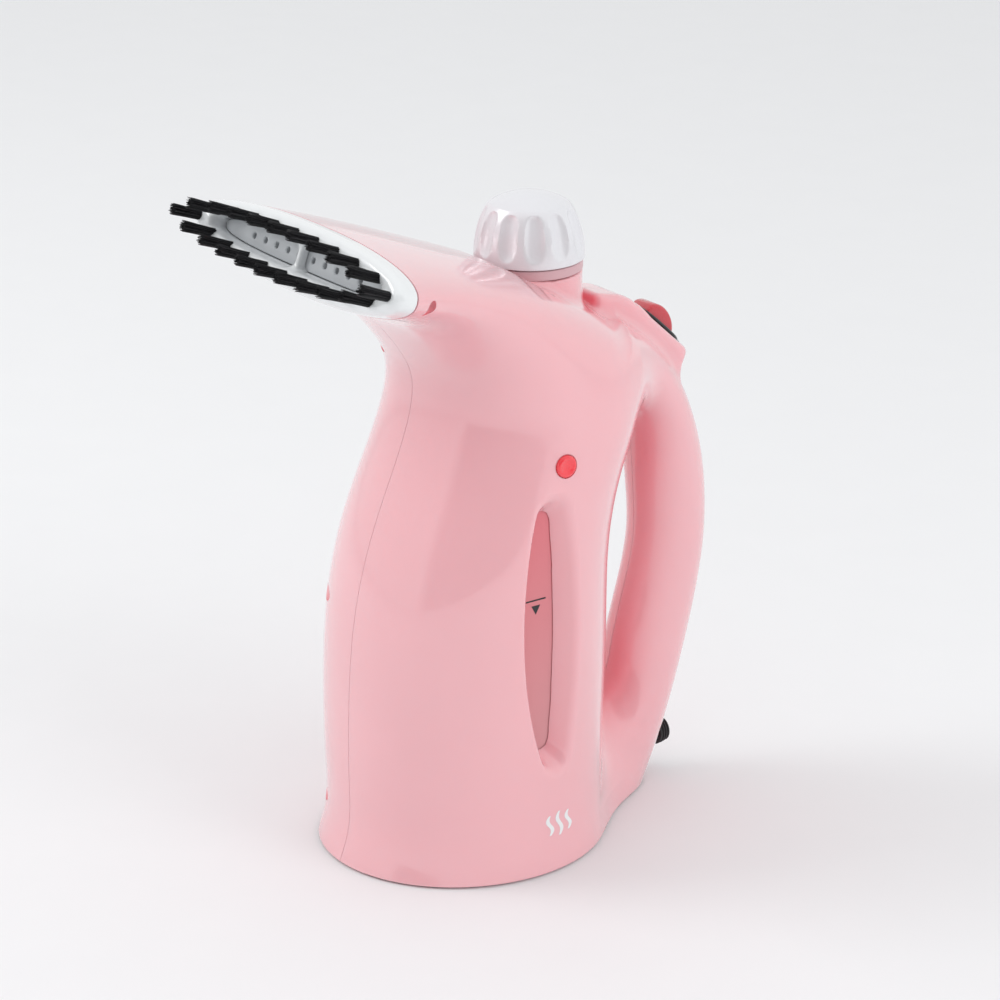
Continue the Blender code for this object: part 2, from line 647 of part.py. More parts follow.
def cap_profile(t):
    """Radius and height of the cap's side for t from 0 at the rim to 1 at the top disc."""
    turn = t * math.radians(66.0)
    reach = (CAP_RADIUS - CAP_DISC_RADIUS) / (1.0 - math.cos(math.radians(66.0)))
    rise = (CAP_DISC_Z - CAP_RIM_Z) / math.sin(math.radians(66.0))
    return CAP_RADIUS - reach * (1.0 - math.cos(turn)), CAP_RIM_Z + rise * math.sin(turn)


def unit_circle(points):
    turns = [2 * math.pi * i / points for i in range(points)]
    return [at(math.cos(turn), math.sin(turn), 0) for turn in turns]


def make_cap():
    around, levels = FLUTES * 4, 7
    rings = []
    for level in range(levels):
        t = level / (levels - 1)
        radius, height = cap_profile(t)
        strength = FLUTE_DEPTH * math.sin(math.pi * min(1.0, t / 0.95)) ** 0.8 if t < 0.95 else 0.0
        ring = []
        for i in range(around):
            angle = 2 * math.pi * i / around
            r = radius - strength * (0.5 - 0.5 * math.cos(FLUTES * angle))
            ring.append(at(r * math.cos(angle), r * math.sin(angle), height))
        rings.append(ring)
    rings.append([at(CAP_CROWN_RADIUS * p.x, CAP_CROWN_RADIUS * p.y, CAP_TOP_Z) for p in unit_circle(around)])
    cap = loft("cap_shell", rings, "pearl_plastic")
    cap.location = (0.0, NECK_Y, 0.0)
    hollow = [(0.0, 0.2515), (0.0130, 0.2505), (0.0180, 0.2400), (0.0192, 0.2300), (0.0, 0.2300)]
    cut(cap, turned("cap_hollow", hollow, None, 32, at(0, NECK_Y, 0)))
    plug = [
        (0.0045, 0.2500), (0.0120, 0.2500), (0.0120, 0.2290), (PLUG_RADIUS, 0.2280),
        (PLUG_RADIUS, PLUG_BOTTOM), (0.0028, PLUG_BOTTOM), (0.0028, 0.2130), (0.0045, 0.2135),
    ]
    turned("cap_plug", plug, "white_plastic", 24, at(0, NECK_Y, 0))
    washer = [(0.0146, 0.2286), (0.0146, 0.2278), (0.0123, 0.2278), (0.0123, 0.2286)]
    turned("cap_washer", washer, "steel", 24, at(0, NECK_Y, 0))
    gasket = [(0.0148, 0.2275), (0.0148, 0.2268), (0.0125, 0.2268), (0.0125, 0.2275)]
    turned("cap_gasket", gasket, "silicone", 24, at(0, NECK_Y, 0))
    collar = [(0.0206, 0.2316), (0.0206, 0.2277), (0.0178, 0.2277), (0.0178, 0.2316)]
    turned("neck_collar", collar, "collar_plastic", 36, at(0, NECK_Y, 0))
    pin = [
        (0.0, 0.2430), (0.0012, 0.2430), (0.0012, 0.2180), (0.0036, 0.2175), (0.0036, 0.2150),
        (0.0022, 0.2139), (0.0022, 0.2120), (0.0, 0.2120),
    ]
    turned("relief_pin", pin, "brass", 12, at(0, NECK_Y, 0))
    make_relief_spring()


def make_relief_spring():
    """Helical spring between the relief pin's collar and the roof of the cap."""
    turns, low, high, radius = 6, 0.2188, 0.2492, 0.0028
    steps = turns * 8
    curve = bpy.data.curves.new("relief_spring", "CURVE")
    curve.dimensions = "3D"
    curve.bevel_depth = 0.0003
    curve.bevel_resolution = 0
    curve.use_fill_caps = True
    spline = curve.splines.new("POLY")
    spline.points.add(steps)
    for i, target in enumerate(spline.points):
        angle = 2 * math.pi * turns * i / steps
        height = low + (high - low) * i / steps
        target.co = (radius * math.cos(angle), radius * math.sin(angle), height, 1.0)
    item = bpy.data.objects.new("relief_spring", curve)
    item.location = (0.0, NECK_Y, 0.0)
    PARTS.objects.link(item)
    curve.materials.append(MATERIALS["steel"])


# ---------------------------------------------------------------- nozzle

def tuft_places():
    """Centre of each tuft across the nozzle face: an upper and a lower row and the two ends."""
    half_length, half_height = TUFT_ROW
    places = []
    for row in (1.0, -1.0):
        for x in TUFT_ROW_X:
            rise = half_height * (1.0 - abs(x / half_length) ** 2.1) ** (1 / 2.1)
            places.append((x, row * rise))
    return places + [(-half_length, 0.0), (half_length, 0.0)]


def nozzle_box(name, size, depth):
    return box(name, size, None, matrix=NOZZLE_FRAME @ Matrix.Translation((0.0, 0.0, depth)))


def make_nozzle():
    length, height = NOZZLE_HALF_LENGTH, NOZZLE_HALF_HEIGHT
    spigot = (length - SPIGOT_INSET[0], height - SPIGOT_INSET[1])
    stack = [
        (*spigot, -SPIGOT_DEPTH), (*spigot, GAP), (length, height, GAP),
        (length, height, BRUSH_DEPTH - 0.0025), (length - 0.0008, height - 0.0008, BRUSH_DEPTH - 0.0008),
        (length - 0.0028, height - 0.0028, BRUSH_DEPTH),
    ]
    frame = nozzle_loft("brush_frame", stack, 40, material="white_plastic")
    opening = [(*BRUSH_OPENING, -0.010), (*BRUSH_OPENING, BRUSH_DEPTH + 0.005)]
    bridge_low = ISLAND_TOP + GAP
    bridge_size = (BRIDGE_WIDTH, 0.0300, BRIDGE_TOP - bridge_low)
    bridge = nozzle_box("brush_bridge", bridge_size, (bridge_low + BRIDGE_TOP) / 2)
    cut(frame, cut(nozzle_loft("brush_opening", opening, 32, OPENING_POWER), bridge))
    for index, (x, rise) in enumerate(tuft_places()):
        make_tuft(frame, index, x, rise)
    plate_size = (length - PLATE_INSET[0], height - PLATE_INSET[1])
    plate_stack = [(*plate_size, PLATE_BACK), (*plate_size, PLATE_FACE)]
    plate = nozzle_loft("steam_plate", plate_stack, 40, material="grey_plastic")
    island = (BRUSH_OPENING[0] - ISLAND_GAP, BRUSH_OPENING[1] - ISLAND_GAP)
    join(plate, nozzle_loft("plate_island", [(*island, PLATE_FACE - 0.0005), (*island, ISLAND_TOP)], 32, OPENING_POWER))
    spigot_start = NOZZLE_BACK + NOZZLE_AXIS * (PLATE_BACK + 0.0005)
    spigot_end = spigot_start - NOZZLE_AXIS * 0.0050
    join(plate, rod("plate_spigot", PLATE_SPIGOT_RADIUS, spigot_end, spigot_start, segments=20))
    bore_start, bore_end = spigot_end - NOZZLE_AXIS * 0.003, spigot_start + NOZZLE_AXIS * 0.0005
    cut(plate, rod("spigot_bore", PLATE_SPIGOT_BORE, bore_start, bore_end))
    for index in range(2 * STEAM_HOLES_EACH_SIDE):
        step = index - STEAM_HOLES_EACH_SIDE
        x = (step - 0.6 if step < 0 else step + 0.6) * STEAM_HOLE_PITCH
        x += STEAM_HOLE_PITCH if step < 0 else 0.0
        start = NOZZLE_BACK + at(x, 0, 0) - NOZZLE_AXIS * 0.020
        end = start + NOZZLE_AXIS * 0.030
        cut(plate, rod(f"steam_hole_{index}", STEAM_HOLE_RADIUS, start, end, segments=8))


def make_tuft(frame, index, x, rise):
    """One tuft, set in a blind socket that is cut into the brush frame."""
    root = NOZZLE_BACK + NOZZLE_AXIS * BRUSH_DEPTH + at(x, 0, 0) + NOZZLE_UP * rise
    floor = root - NOZZLE_AXIS * TUFT_SOCKET
    cut(frame, rod(f"tuft_socket_{index}", TUFT_RADIUS + GAP, floor, root + NOZZLE_AXIS * 0.005, segments=8))
    total = TUFT_LENGTH + TUFT_SOCKET - GAP
    profile = [
        (0.0, total), (TUFT_RADIUS + TUFT_SPREAD, total - TUFT_SPREAD), (TUFT_RADIUS, total * 0.4),
        (TUFT_RADIUS, 0.0), (0.0, 0.0),
    ]
    turned(f"tuft_{index + 1:02d}", profile, "bristle_black", 8, floor + NOZZLE_AXIS * GAP, NOZZLE_AXIS)


# ---------------------------------------------------------------- switch and indicator

def make_switch():
    turn = switch_matrix()
    points = 32

    def oval(half_long, half_wide, height):
        ring = []
        for i in range(points):
            along, across = superellipse(2 * math.pi * i / points, 2.6)
            ring.append(turn @ Vector((half_wide * across, half_long * along, height)))
        return ring

    long, wide = BEZEL_HALF
    bezel = loft(
        "switch_bezel",
        [oval(long, wide, GAP), oval(long, wide, 0.0008), oval(long - 0.0012, wide - 0.0012, 0.0015)],
        "black_plastic",
    )
    case_place = turn @ Matrix.Translation((0, 0, -0.0060))
    join(bezel, box("switch_case", (0.0160, 0.0246, 0.0130), None, matrix=case_place))
    well_place = turn @ Matrix.Translation((0, 0, -0.0010))
    cut(bezel, box("switch_well", (0.0124, 0.0200, 0.0150), None, matrix=well_place))
    pivot_bore = rod("pivot_bore", 0.0013, SWITCH_CENTRE - at(0.0074, 0, 0), SWITCH_CENTRE + at(0.0074, 0, 0))
    cut(bezel, pivot_bore)

    outline = []
    top = [
        (-ROCKER_HALF_LENGTH, 0.0040), (-0.0078, 0.0055), (-0.0055, 0.0068), (-0.0025, 0.0072),
        (0.0010, 0.0068), (0.0046, 0.0060), (0.0074, 0.0050), (ROCKER_HALF_LENGTH, 0.0040),
    ]
    radius = math.hypot(ROCKER_HALF_LENGTH, 0.0040)
    lower = []
    for degrees in (10.0, -5.0, -20.0, -38.0):
        angle = math.radians(degrees)
        lower.append((radius * math.cos(angle), radius * math.sin(angle)))
    mirrored = [(-y, z) for y, z in reversed(lower)]
    for along, out in top + lower + mirrored:
        spun_along = along * math.cos(ROCKER_TILT) + out * math.sin(ROCKER_TILT)
        spun_out = -along * math.sin(ROCKER_TILT) + out * math.cos(ROCKER_TILT)
        outline.append((spun_along, spun_out))
    rocker = prism("rocker", outline, ROCKER_HALF_WIDTH, "red_clear")
    rocker.matrix_world = turn
    join(rocker, rod("rocker_pins", 0.0010, SWITCH_CENTRE - at(0.0069, 0, 0), SWITCH_CENTRE + at(0.0069, 0, 0)))


def make_indicator():
    outside = LENS_SEAT_X + GAP + 0.0016
    profile = [
        (0.0, outside), (0.0030, outside - 0.0001), (LENS_RADIUS, outside - 0.0008),
        (LENS_RADIUS, outside - 0.0016), (0.0033, outside - 0.0016), (0.0033, 0.0425), (0.0, 0.0425),
    ]
    cap = turned("indicator_lens", profile, "red_clear", 24, LENS_PLACE, at(1, 0, 0))
    cut(cap, rod("lamp_room", 0.0024, LENS_PLACE + at(0.036, 0, 0), LENS_PLACE + at(0.047, 0, 0)))
    rod("indicator_lamp", 0.0020, LENS_PLACE + at(0.0400, 0, 0), LENS_PLACE + at(0.0465, 0, 0), "red_clear", 12)


# ---------------------------------------------------------------- wiring and cord exit

def make_wiring():
    box("terminal_block", (0.018, 0.012, 0.010), at(0, 0.0480, 0.0100), "ceramic", bevel=0.0008)
    clamp = box("cord_clamp", (0.020, 0.006, 0.0050), at(0, 0.0620, 0.0073), "black_plastic", bevel=0.0006)
    cut(clamp, rod("clamp_groove", 0.0030, at(0, 0.050, 0.0107), at(0, 0.075, 0.0107)))
    inner, mouth, out = -0.0070, 0.0002, 0.0085
    profile = [
        (0.0034, out),
        (0.0042, out),
        (0.0052, out - 0.0015),
        (0.0056, out - 0.0040),
        (0.0056, mouth + 0.0026),
        (0.0045, mouth + 0.0026),
        (0.0045, -0.0052),
        (0.0060, -0.0052),
        (0.0060, inner),
        (0.0034, inner),
    ]
    turned("cord_gland", profile, "rubber", 20, GLAND_PLACE, at(0, 1, 0))


make_shells()
make_housing_screws()
make_base()
make_heater()
make_tank()
make_cap()
make_nozzle()
make_switch()
make_indicator()
make_wiring()
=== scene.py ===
"""Looks of a handheld garment steamer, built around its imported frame. Metres, +Z up.

The nozzle looks along -Y and the handle is on the +Y side. The object's left side is +X.
"""
import json
import math

import bmesh
import bpy
import numpy as np
from mathutils import Matrix, Vector

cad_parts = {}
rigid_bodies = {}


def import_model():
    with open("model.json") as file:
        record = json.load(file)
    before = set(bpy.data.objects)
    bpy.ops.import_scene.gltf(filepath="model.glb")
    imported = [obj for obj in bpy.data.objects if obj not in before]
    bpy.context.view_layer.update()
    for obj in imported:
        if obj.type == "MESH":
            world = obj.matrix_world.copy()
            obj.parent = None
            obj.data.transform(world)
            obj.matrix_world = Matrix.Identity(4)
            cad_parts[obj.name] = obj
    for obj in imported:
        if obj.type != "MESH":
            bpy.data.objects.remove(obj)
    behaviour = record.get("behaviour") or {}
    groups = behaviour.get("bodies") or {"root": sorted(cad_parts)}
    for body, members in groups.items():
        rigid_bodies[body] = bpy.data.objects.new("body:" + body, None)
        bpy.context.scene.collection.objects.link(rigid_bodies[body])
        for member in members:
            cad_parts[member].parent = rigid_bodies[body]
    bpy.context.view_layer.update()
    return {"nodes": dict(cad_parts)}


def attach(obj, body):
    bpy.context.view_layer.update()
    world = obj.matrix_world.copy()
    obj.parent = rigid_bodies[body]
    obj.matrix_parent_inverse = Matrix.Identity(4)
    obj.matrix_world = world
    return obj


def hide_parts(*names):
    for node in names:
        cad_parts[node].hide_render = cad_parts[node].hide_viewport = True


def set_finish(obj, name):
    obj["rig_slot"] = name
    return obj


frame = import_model()

# ---- sizes, close to those of the CAD

# Front point (y, z), rear or top point (y, z), half width, squareness
BODY_SECTIONS = [
    ((-0.0718, 0.0010), (0.0450, 0.0010), 0.0554, 2.00),
    ((-0.0680, 0.0120), (0.0430, 0.0120), 0.0538, 2.05),
    ((-0.0668, 0.0320), (0.0415, 0.0320), 0.0528, 2.15),
    ((-0.0663, 0.0680), (0.0415, 0.0680), 0.0538, 2.20),
    ((-0.0634, 0.1000), (0.0415, 0.1000), 0.0542, 2.20),
    ((-0.0573, 0.1260), (0.0430, 0.1280), 0.0530, 2.20),
    ((-0.0495, 0.1470), (0.0500, 0.1540), 0.0510, 2.20),
    ((-0.0415, 0.1660), (0.0580, 0.1790), 0.0495, 2.20),
    ((-0.0364, 0.1820), (0.0520, 0.2005), 0.0475, 2.20),
    ((-0.0360, 0.1945), (0.0300, 0.2165), 0.0465, 2.20),
    ((-0.0420, 0.2065), (0.0040, 0.2315), 0.0475, 2.20),
    ((-0.0520, 0.2185), (-0.0200, 0.2415), 0.0520, 2.20),
    ((-0.0660, 0.2285), (-0.0480, 0.2515), 0.0600, 2.25),
    ((-0.0841, 0.2354), (-0.0749, 0.2598), 0.0695, 2.30),
]
HANDLE_SECTIONS = [
    ((0.0360, 0.1680), (0.0540, 0.2010), 0.0280, 2.2),
    ((0.0500, 0.1680), (0.0680, 0.1945), 0.0235, 2.2),
    ((0.0612, 0.1632), (0.0830, 0.1790), 0.0195, 2.15),
    ((0.0682, 0.1495), (0.0945, 0.1580), 0.0172, 2.1),
    ((0.0705, 0.1280), (0.1018, 0.1340), 0.0155, 2.1),
    ((0.0710, 0.1055), (0.1038, 0.1040), 0.0145, 2.1),
    ((0.0663, 0.0835), (0.0998, 0.0770), 0.0145, 2.1),
    ((0.0610, 0.0630), (0.0935, 0.0535), 0.0150, 2.1),
    ((0.0535, 0.0420), (0.0860, 0.0310), 0.0160, 2.1),
    ((0.0300, 0.0180), (0.0803, 0.0140), 0.0170, 2.1),
    ((0.0220, 0.0010), (0.0745, 0.0010), 0.0170, 2.1),
]
# How far the grip melts into the body, and how much further near the foot
GRIP_BLEND = 0.016
FOOT_BLEND = 0.012
WALL = 0.0025
SEAM_GAP = 0.00010
BASE_EDGE = 0.0010

NECK_Y = 0.0189
NECK_RADIUS = 0.0204
NECK_TOP = 0.2274
CAP_RADIUS = 0.0214
CAP_RIM_Z = 0.2320
CAP_DISC_RADIUS = 0.0150
CAP_DISC_Z = 0.2533
CAP_TOP_Z = 0.2573
CAP_TURN = math.radians(66.0)
FLUTES = 12
FLUTE_DEPTH = 0.0016
POCKET_RADIUS = 0.0227
POCKET_FLOOR = 0.2268
NECK_FOOT = 0.185
NECK_DRAFT = 0.02
COLLAR_RADII = (0.0178, 0.0206)
COLLAR_LEVELS = (0.2277, 0.2316)

NOZZLE_TILT = math.radians(20.8)
NOZZLE_AXIS = Vector((0.0, -math.cos(NOZZLE_TILT), math.sin(NOZZLE_TILT)))
NOZZLE_UP = Vector((0.0, math.sin(NOZZLE_TILT), math.cos(NOZZLE_TILT)))
NOZZLE_BACK = Vector((0.0, -0.0795, 0.2476))
NOZZLE_HALF = (0.0695, 0.0130)
NOZZLE_POWER = 2.3
NOZZLE_FRAME = Matrix.Translation(NOZZLE_BACK) @ Matrix((
    (1.0, NOZZLE_UP.x, NOZZLE_AXIS.x),
    (0.0, NOZZLE_UP.y, NOZZLE_AXIS.y),
    (0.0, NOZZLE_UP.z, NOZZLE_AXIS.z),
)).to_4x4()
BRUSH_DEPTH = 0.0095
BRUSH_OPENING = (0.0560, 0.0046)
OPENING_POWER = 3.0
BRIDGE_WIDTH = 0.0024
BRIDGE_TOP = 0.0060
TUFT_ROW = (0.0640, 0.0080)
TUFT_POWER = 2.1
TUFT_ROW_X = (-0.0542, -0.0404, -0.0270, -0.0134, 0.0, 0.0134, 0.0270, 0.0404, 0.0542)
TUFT_RADIUS = 0.0020
TUFT_LENGTH = 0.0130
BRISTLES = 72
STEAM_HOLES_EACH_SIDE = 5
STEAM_HOLE_PITCH = 0.0078
STEAM_HOLE_RADIUS = 0.0012
SPIGOT_INSET = (0.0054, 0.0036)
SPIGOT_DEPTH = 0.0040
PLATE_INSET = (0.0070, 0.0036)
PLATE_BACK = -0.0075
PLATE_FACE = -0.0043
ISLAND_TOP = 0.0022
ISLAND_GAP = 0.00012

SWITCH_CENTRE = Vector((0.0, 0.0774, 0.1946))
SWITCH_SLOPE = math.radians(42.0)
SWITCH_DOWN = Vector((0.0, math.cos(SWITCH_SLOPE), -math.sin(SWITCH_SLOPE)))
SWITCH_OUT = Vector((0.0, math.sin(SWITCH_SLOPE), math.cos(SWITCH_SLOPE)))
POD_HALF_WIDTH = 0.0118
BEZEL_HALF = (0.0145, 0.0093)
ROCKER_TILT = math.radians(9.0)
ROCKER_HALF_LENGTH = 0.0085
ROCKER_HALF_WIDTH = 0.0057
SWITCH_CASE = (0.0160, 0.0246, 0.0130)
SWITCH_WELL = (0.0124, 0.0200, 0.0150)
SWITCH_CUT = (0.0168, 0.0254, 0.0300)
PIVOT_RADIUS = 0.0013
PIVOT_HALF = 0.0074
PIN_RADIUS = 0.0010
PIN_HALF = 0.0069

# The window's clear opening lies between two arcs, given by centre (y, z) and radius
WINDOW_MIDDLE = (-0.0080, 0.0985)
WINDOW_FRONT_ARC = (0.1321, 0.0985, 0.1528)
WINDOW_REAR_ARC = (-0.5026, 0.0985, 0.5000)
WINDOW_CORNER = 0.0060
WINDOW_HALF = (0.0074, 0.0500)
WINDOW_FLOOR_X = 0.0456
WINDOW_OUTER_X = 0.0500
WINDOW_LIP_REACH = 0.0022
WINDOW_DRAFT = 1.10
WINDOW_WALL = 0.0026
LENS_PLACE = Vector((0.0, 0.0003, 0.1649))
LENS_RADIUS = 0.0044
LENS_SEAT_X = 0.0489
LENS_HOLE = 0.0036
LENS_STEM = 0.0033
LENS_BACK_X = 0.0425

# Places (y, z) of the screws in the right shell and (x, y) of the screws and feet under the base
HOUSING_SCREWS = [(-0.0593, 0.0170), (-0.0558, 0.1010), (-0.0318, 0.2000), (0.0875, 0.1100), (0.0640, 0.0270)]
POST_RADIUS = 0.0045
SCREW_SEAT_X = 0.0090
SCREW_RADIUS = 0.0015
SCREW_HEAD_RADIUS = 0.0029
GAP = 0.0003
BASE_LOW = 0.0018
BASE_HIGH = 0.0043
BASE_SCREWS = [(0.0390, -0.0130), (-0.0390, -0.0130), (0.0, -0.0475)]
FEET = [(0.0300, -0.0400), (-0.0300, -0.0400), (0.0300, 0.0180), (-0.0300, 0.0180)]
SIGHT_GLASS_X = 0.0452
DROP_POINT = Vector((0.0638, -0.0748, 0.2408))
DROP_ROUND = Vector((0.0655, -0.0690, 0.2462))
DROP_RADIUS = 0.0025
EMBLEM_MIDDLE = (-0.0040, 0.0195)
GLAND_PLACE = Vector((0.0, 0.0800, 0.0160))
GLAND_HOLE = 0.0048

# Meshing of the distance fields: room around a shell, grid sizes, step of a slope, spare depth past a cut
SHELL_ROOM = ((-0.0035, -0.0950, -0.0060), (0.0740, 0.1090, 0.2680))
SHELL_PITCH = 0.00115
BRUSH_PITCH = 0.00058
STEP = 0.0002
SPARE = 0.0020
SETTLE_ROUNDS = 3

CAMERA_PLACE = (1.0099, -0.7149, 0.6019)
CAMERA_YAW = math.radians(54.51)
CAMERA_PITCH = math.radians(20.62)
CAMERA_LENS = 122.4


# ---- distance fields

def smooth_min(a, b, reach):
    near = np.maximum(reach - np.abs(a - b), 0.0) / reach
    return np.minimum(a, b) - near * near * reach / 4


def smooth_max(a, b, reach):
    return -smooth_min(-a, -b, reach)


def oval_distance(across, along, half_across, half_along, power):
    """Distance to a superellipse, exact to first order near its edge."""
    p, q = np.abs(across) / half_across, np.abs(along) / half_along
    p, q = np.maximum(p, 1e-6), np.maximum(q, 1e-6)
    a, b = p ** (power - 1), q ** (power - 1)
    level = (a * p + b * q) ** (1 / power)
    slope = level ** (1 - power) * np.hypot(a / half_across, b / half_along)
    return (level - 1) / slope


def natural_rates(knots, rows):
    """Slopes at the knots of the natural cubic through the rows."""
    count, gaps = len(knots), np.diff(knots)
    system, right = np.zeros((count, count)), np.zeros_like(rows)
    system[0, :2], system[-1, -2:] = (2, 1), (1, 2)
    right[0] = 3 * (rows[1] - rows[0]) / gaps[0]
    right[-1] = 3 * (rows[-1] - rows[-2]) / gaps[-1]
    for i in range(1, count - 1):
        before, after = 1 / gaps[i - 1], 1 / gaps[i]
        system[i, i - 1 : i + 2] = before, 2 * (before + after), after
        right[i] = 3 * ((rows[i] - rows[i - 1]) * before**2 + (rows[i + 1] - rows[i]) * after**2)
    return np.linalg.solve(system, right)


class Tube:
    """A solid whose sections stand on lines in the Y-Z plane and are superellipses across X."""

    def __init__(self, sections):
        self.rows = np.array([(*first, *last, width, power) for first, last, width, power in sections])
        centres = (self.rows[:, 0:2] + self.rows[:, 2:4]) / 2
        self.knots = np.concatenate([[0.0], np.cumsum(np.hypot(*np.diff(centres, axis=0).T))])
        self.rates = natural_rates(self.knots, self.rows)
        self.samples = np.linspace(0.0, self.knots[-1], 120)
        self.turn = 1.0
        way = centres[1] - centres[0]
        self.turn = float(np.sign(self.side(self.knots[:1], centres[0, 0] + way[0], centres[0, 1] + way[1])[0]))

    def section(self, t):
        i = np.clip(np.searchsorted(self.knots, t) - 1, 0, len(self.knots) - 2)
        span = (self.knots[i + 1] - self.knots[i])[..., None]
        u = (t - self.knots[i])[..., None] / span
        start = (1 + 2 * u) * (1 - u) ** 2 * self.rows[i] + u * (1 - u) ** 2 * span * self.rates[i]
        return start + u * u * (3 - 2 * u) * self.rows[i + 1] + u * u * (u - 1) * span * self.rates[i + 1]

    def line(self, t):
        """Section t with the length and the middle of its line."""
        rows = self.section(t)
        dy, dz = rows[..., 2] - rows[..., 0], rows[..., 3] - rows[..., 1]
        return rows, dy, dz, (rows[..., 2] + rows[..., 0]) / 2, (rows[..., 3] + rows[..., 1]) / 2

    def side(self, t, y, z):
        """How far (y, z) lies past the line of section t."""
        _, dy, dz, middle_y, middle_z = self.line(t)
        return self.turn * (dy * (z - middle_z) - dz * (y - middle_y)) / np.hypot(dy, dz)

    def distance(self, x, y, z, capped=False):
        shape = np.broadcast_shapes(np.shape(y), np.shape(z))
        flat_y, flat_z = (np.broadcast_to(v, shape).ravel() for v in (y, z))
        sides = self.side(self.samples[:, None], flat_y, flat_z)
        crossing = (sides[:-1] > 0) & (sides[1:] <= 0)
        low = np.argmax(crossing, axis=0)
        here = np.arange(len(flat_y))
        found = crossing[low, here]
        a, b = self.samples[low], self.samples[low + 1]
        fa, fb = sides[low, here], sides[low + 1, here]
        t = a + (b - a) * fa / np.where(found, fa - fb, 1.0)
        t = np.where(found, t, np.where(sides[0] <= 0, 0.0, self.knots[-1]))
        for _ in range(2):
            slope = np.where(found, (fb - fa) / (b - a), -1.0)
            t = np.where(found, np.clip(t - self.side(t, flat_y, flat_z) / slope, a, b), t)
        rows, dy, dz, middle_y, middle_z = self.line(t)
        half = np.hypot(dy, dz) / 2
        along = ((flat_y - middle_y) * dy + (flat_z - middle_z) * dz) / (2 * half)
        along, half, width, power = (v.reshape(shape) for v in (along, half, rows[:, 4], rows[:, 5]))
        result = oval_distance(x, along, width, half, power)
        return np.maximum(result, -sides[0].reshape(shape)) if capped else result


def polygon_distance(y, z, corners, reach):
    """Rounded distance to a convex outline whose corners run clockwise."""
    result = None
    for (ay, az), (by, bz) in zip(corners, corners[1:] + corners[:1]):
        length = math.hypot(by - ay, bz - az)
        edge = ((y - ay) * (az - bz) + (z - az) * (by - ay)) / length
        result = edge if result is None else smooth_max(result, edge, reach)
    return result


def window_distance(y, z, slope=0.0):
    """Distance from (y, z) to the edge of the window, whose rear wall and ends lean outwards by slope."""
    front = np.hypot(y - WINDOW_FRONT_ARC[0], z - WINDOW_FRONT_ARC[1]) - WINDOW_FRONT_ARC[2]
    rear = np.hypot(y - WINDOW_REAR_ARC[0], z - WINDOW_REAR_ARC[1]) - WINDOW_REAR_ARC[2]
    sides = smooth_max(front, rear - slope, WINDOW_CORNER)
    ends = np.abs(z - WINDOW_MIDDLE[1]) - WINDOW_HALF[1] - slope
    return smooth_max(sides, ends, WINDOW_CORNER)


BODY = Tube(BODY_SECTIONS)
HANDLE = Tube(HANDLE_SECTIONS)
# The pod under the switch: a block along its slope, and a nose that runs up to the neck
POD_FRONT, POD_REAR = SWITCH_CENTRE - SWITCH_DOWN * 0.0180, SWITCH_CENTRE + SWITCH_DOWN * 0.0160
POD_OUTLINE = [(0.0540, 0.1700), POD_FRONT.yz[:], POD_REAR.yz[:], (0.0850, 0.1740)]
POD_NOSE = [(0.0415, 0.1950), (0.0430, 0.2150), (0.0590, 0.2115), (0.0700, 0.2010), (0.0700, 0.1750)]


def common_field(x, y, z):
    """Distance to the outside of the housing, which is the same on both sides."""
    body = BODY.distance(x, y, z)
    grip = HANDLE.distance(x, y, z, capped=True)
    result = smooth_min(body, grip, GRIP_BLEND + FOOT_BLEND * np.clip((0.06 - z) / 0.05, 0, 1))
    block = polygon_distance(y, z, POD_OUTLINE, 0.0022)
    pod = smooth_min(block, polygon_distance(y, z, POD_NOSE, 0.003), 0.002)
    pod = smooth_max(pod, np.abs(x) - POD_HALF_WIDTH, 0.0035)
    round_neck = np.hypot(x, y - NECK_Y)
    pocket = np.maximum(round_neck - POCKET_RADIUS, POCKET_FLOOR - z)
    result = smooth_max(result, -pocket, 0.005)
    result = smooth_min(result, pod, 0.004)
    neck_side = round_neck - NECK_RADIUS - NECK_DRAFT * (NECK_TOP - z)
    neck = smooth_max(neck_side, np.maximum(z - NECK_TOP, NECK_FOOT - z), 0.001)
    result = smooth_min(result, neck, 0.004)
    nose = (y - NOZZLE_BACK.y) * NOZZLE_AXIS.y + (z - NOZZLE_BACK.z) * NOZZLE_AXIS.z
    return np.maximum(result, np.maximum(BASE_EDGE - SPARE - z, nose - SPARE))


def right_field(x, y, z):
    return np.maximum(common_field(x, y, z), -x - SPARE)


def left_field(x, y, z):
    slope = WINDOW_DRAFT * np.maximum(x - WINDOW_FLOOR_X, 0.0)
    recess = np.maximum(window_distance(y, z, slope), WINDOW_FLOOR_X - 0.0005 - x)
    return np.maximum(smooth_max(common_field(x, y, z), -recess, WINDOW_LIP_REACH), -x - SPARE)


# ---- meshing of a field

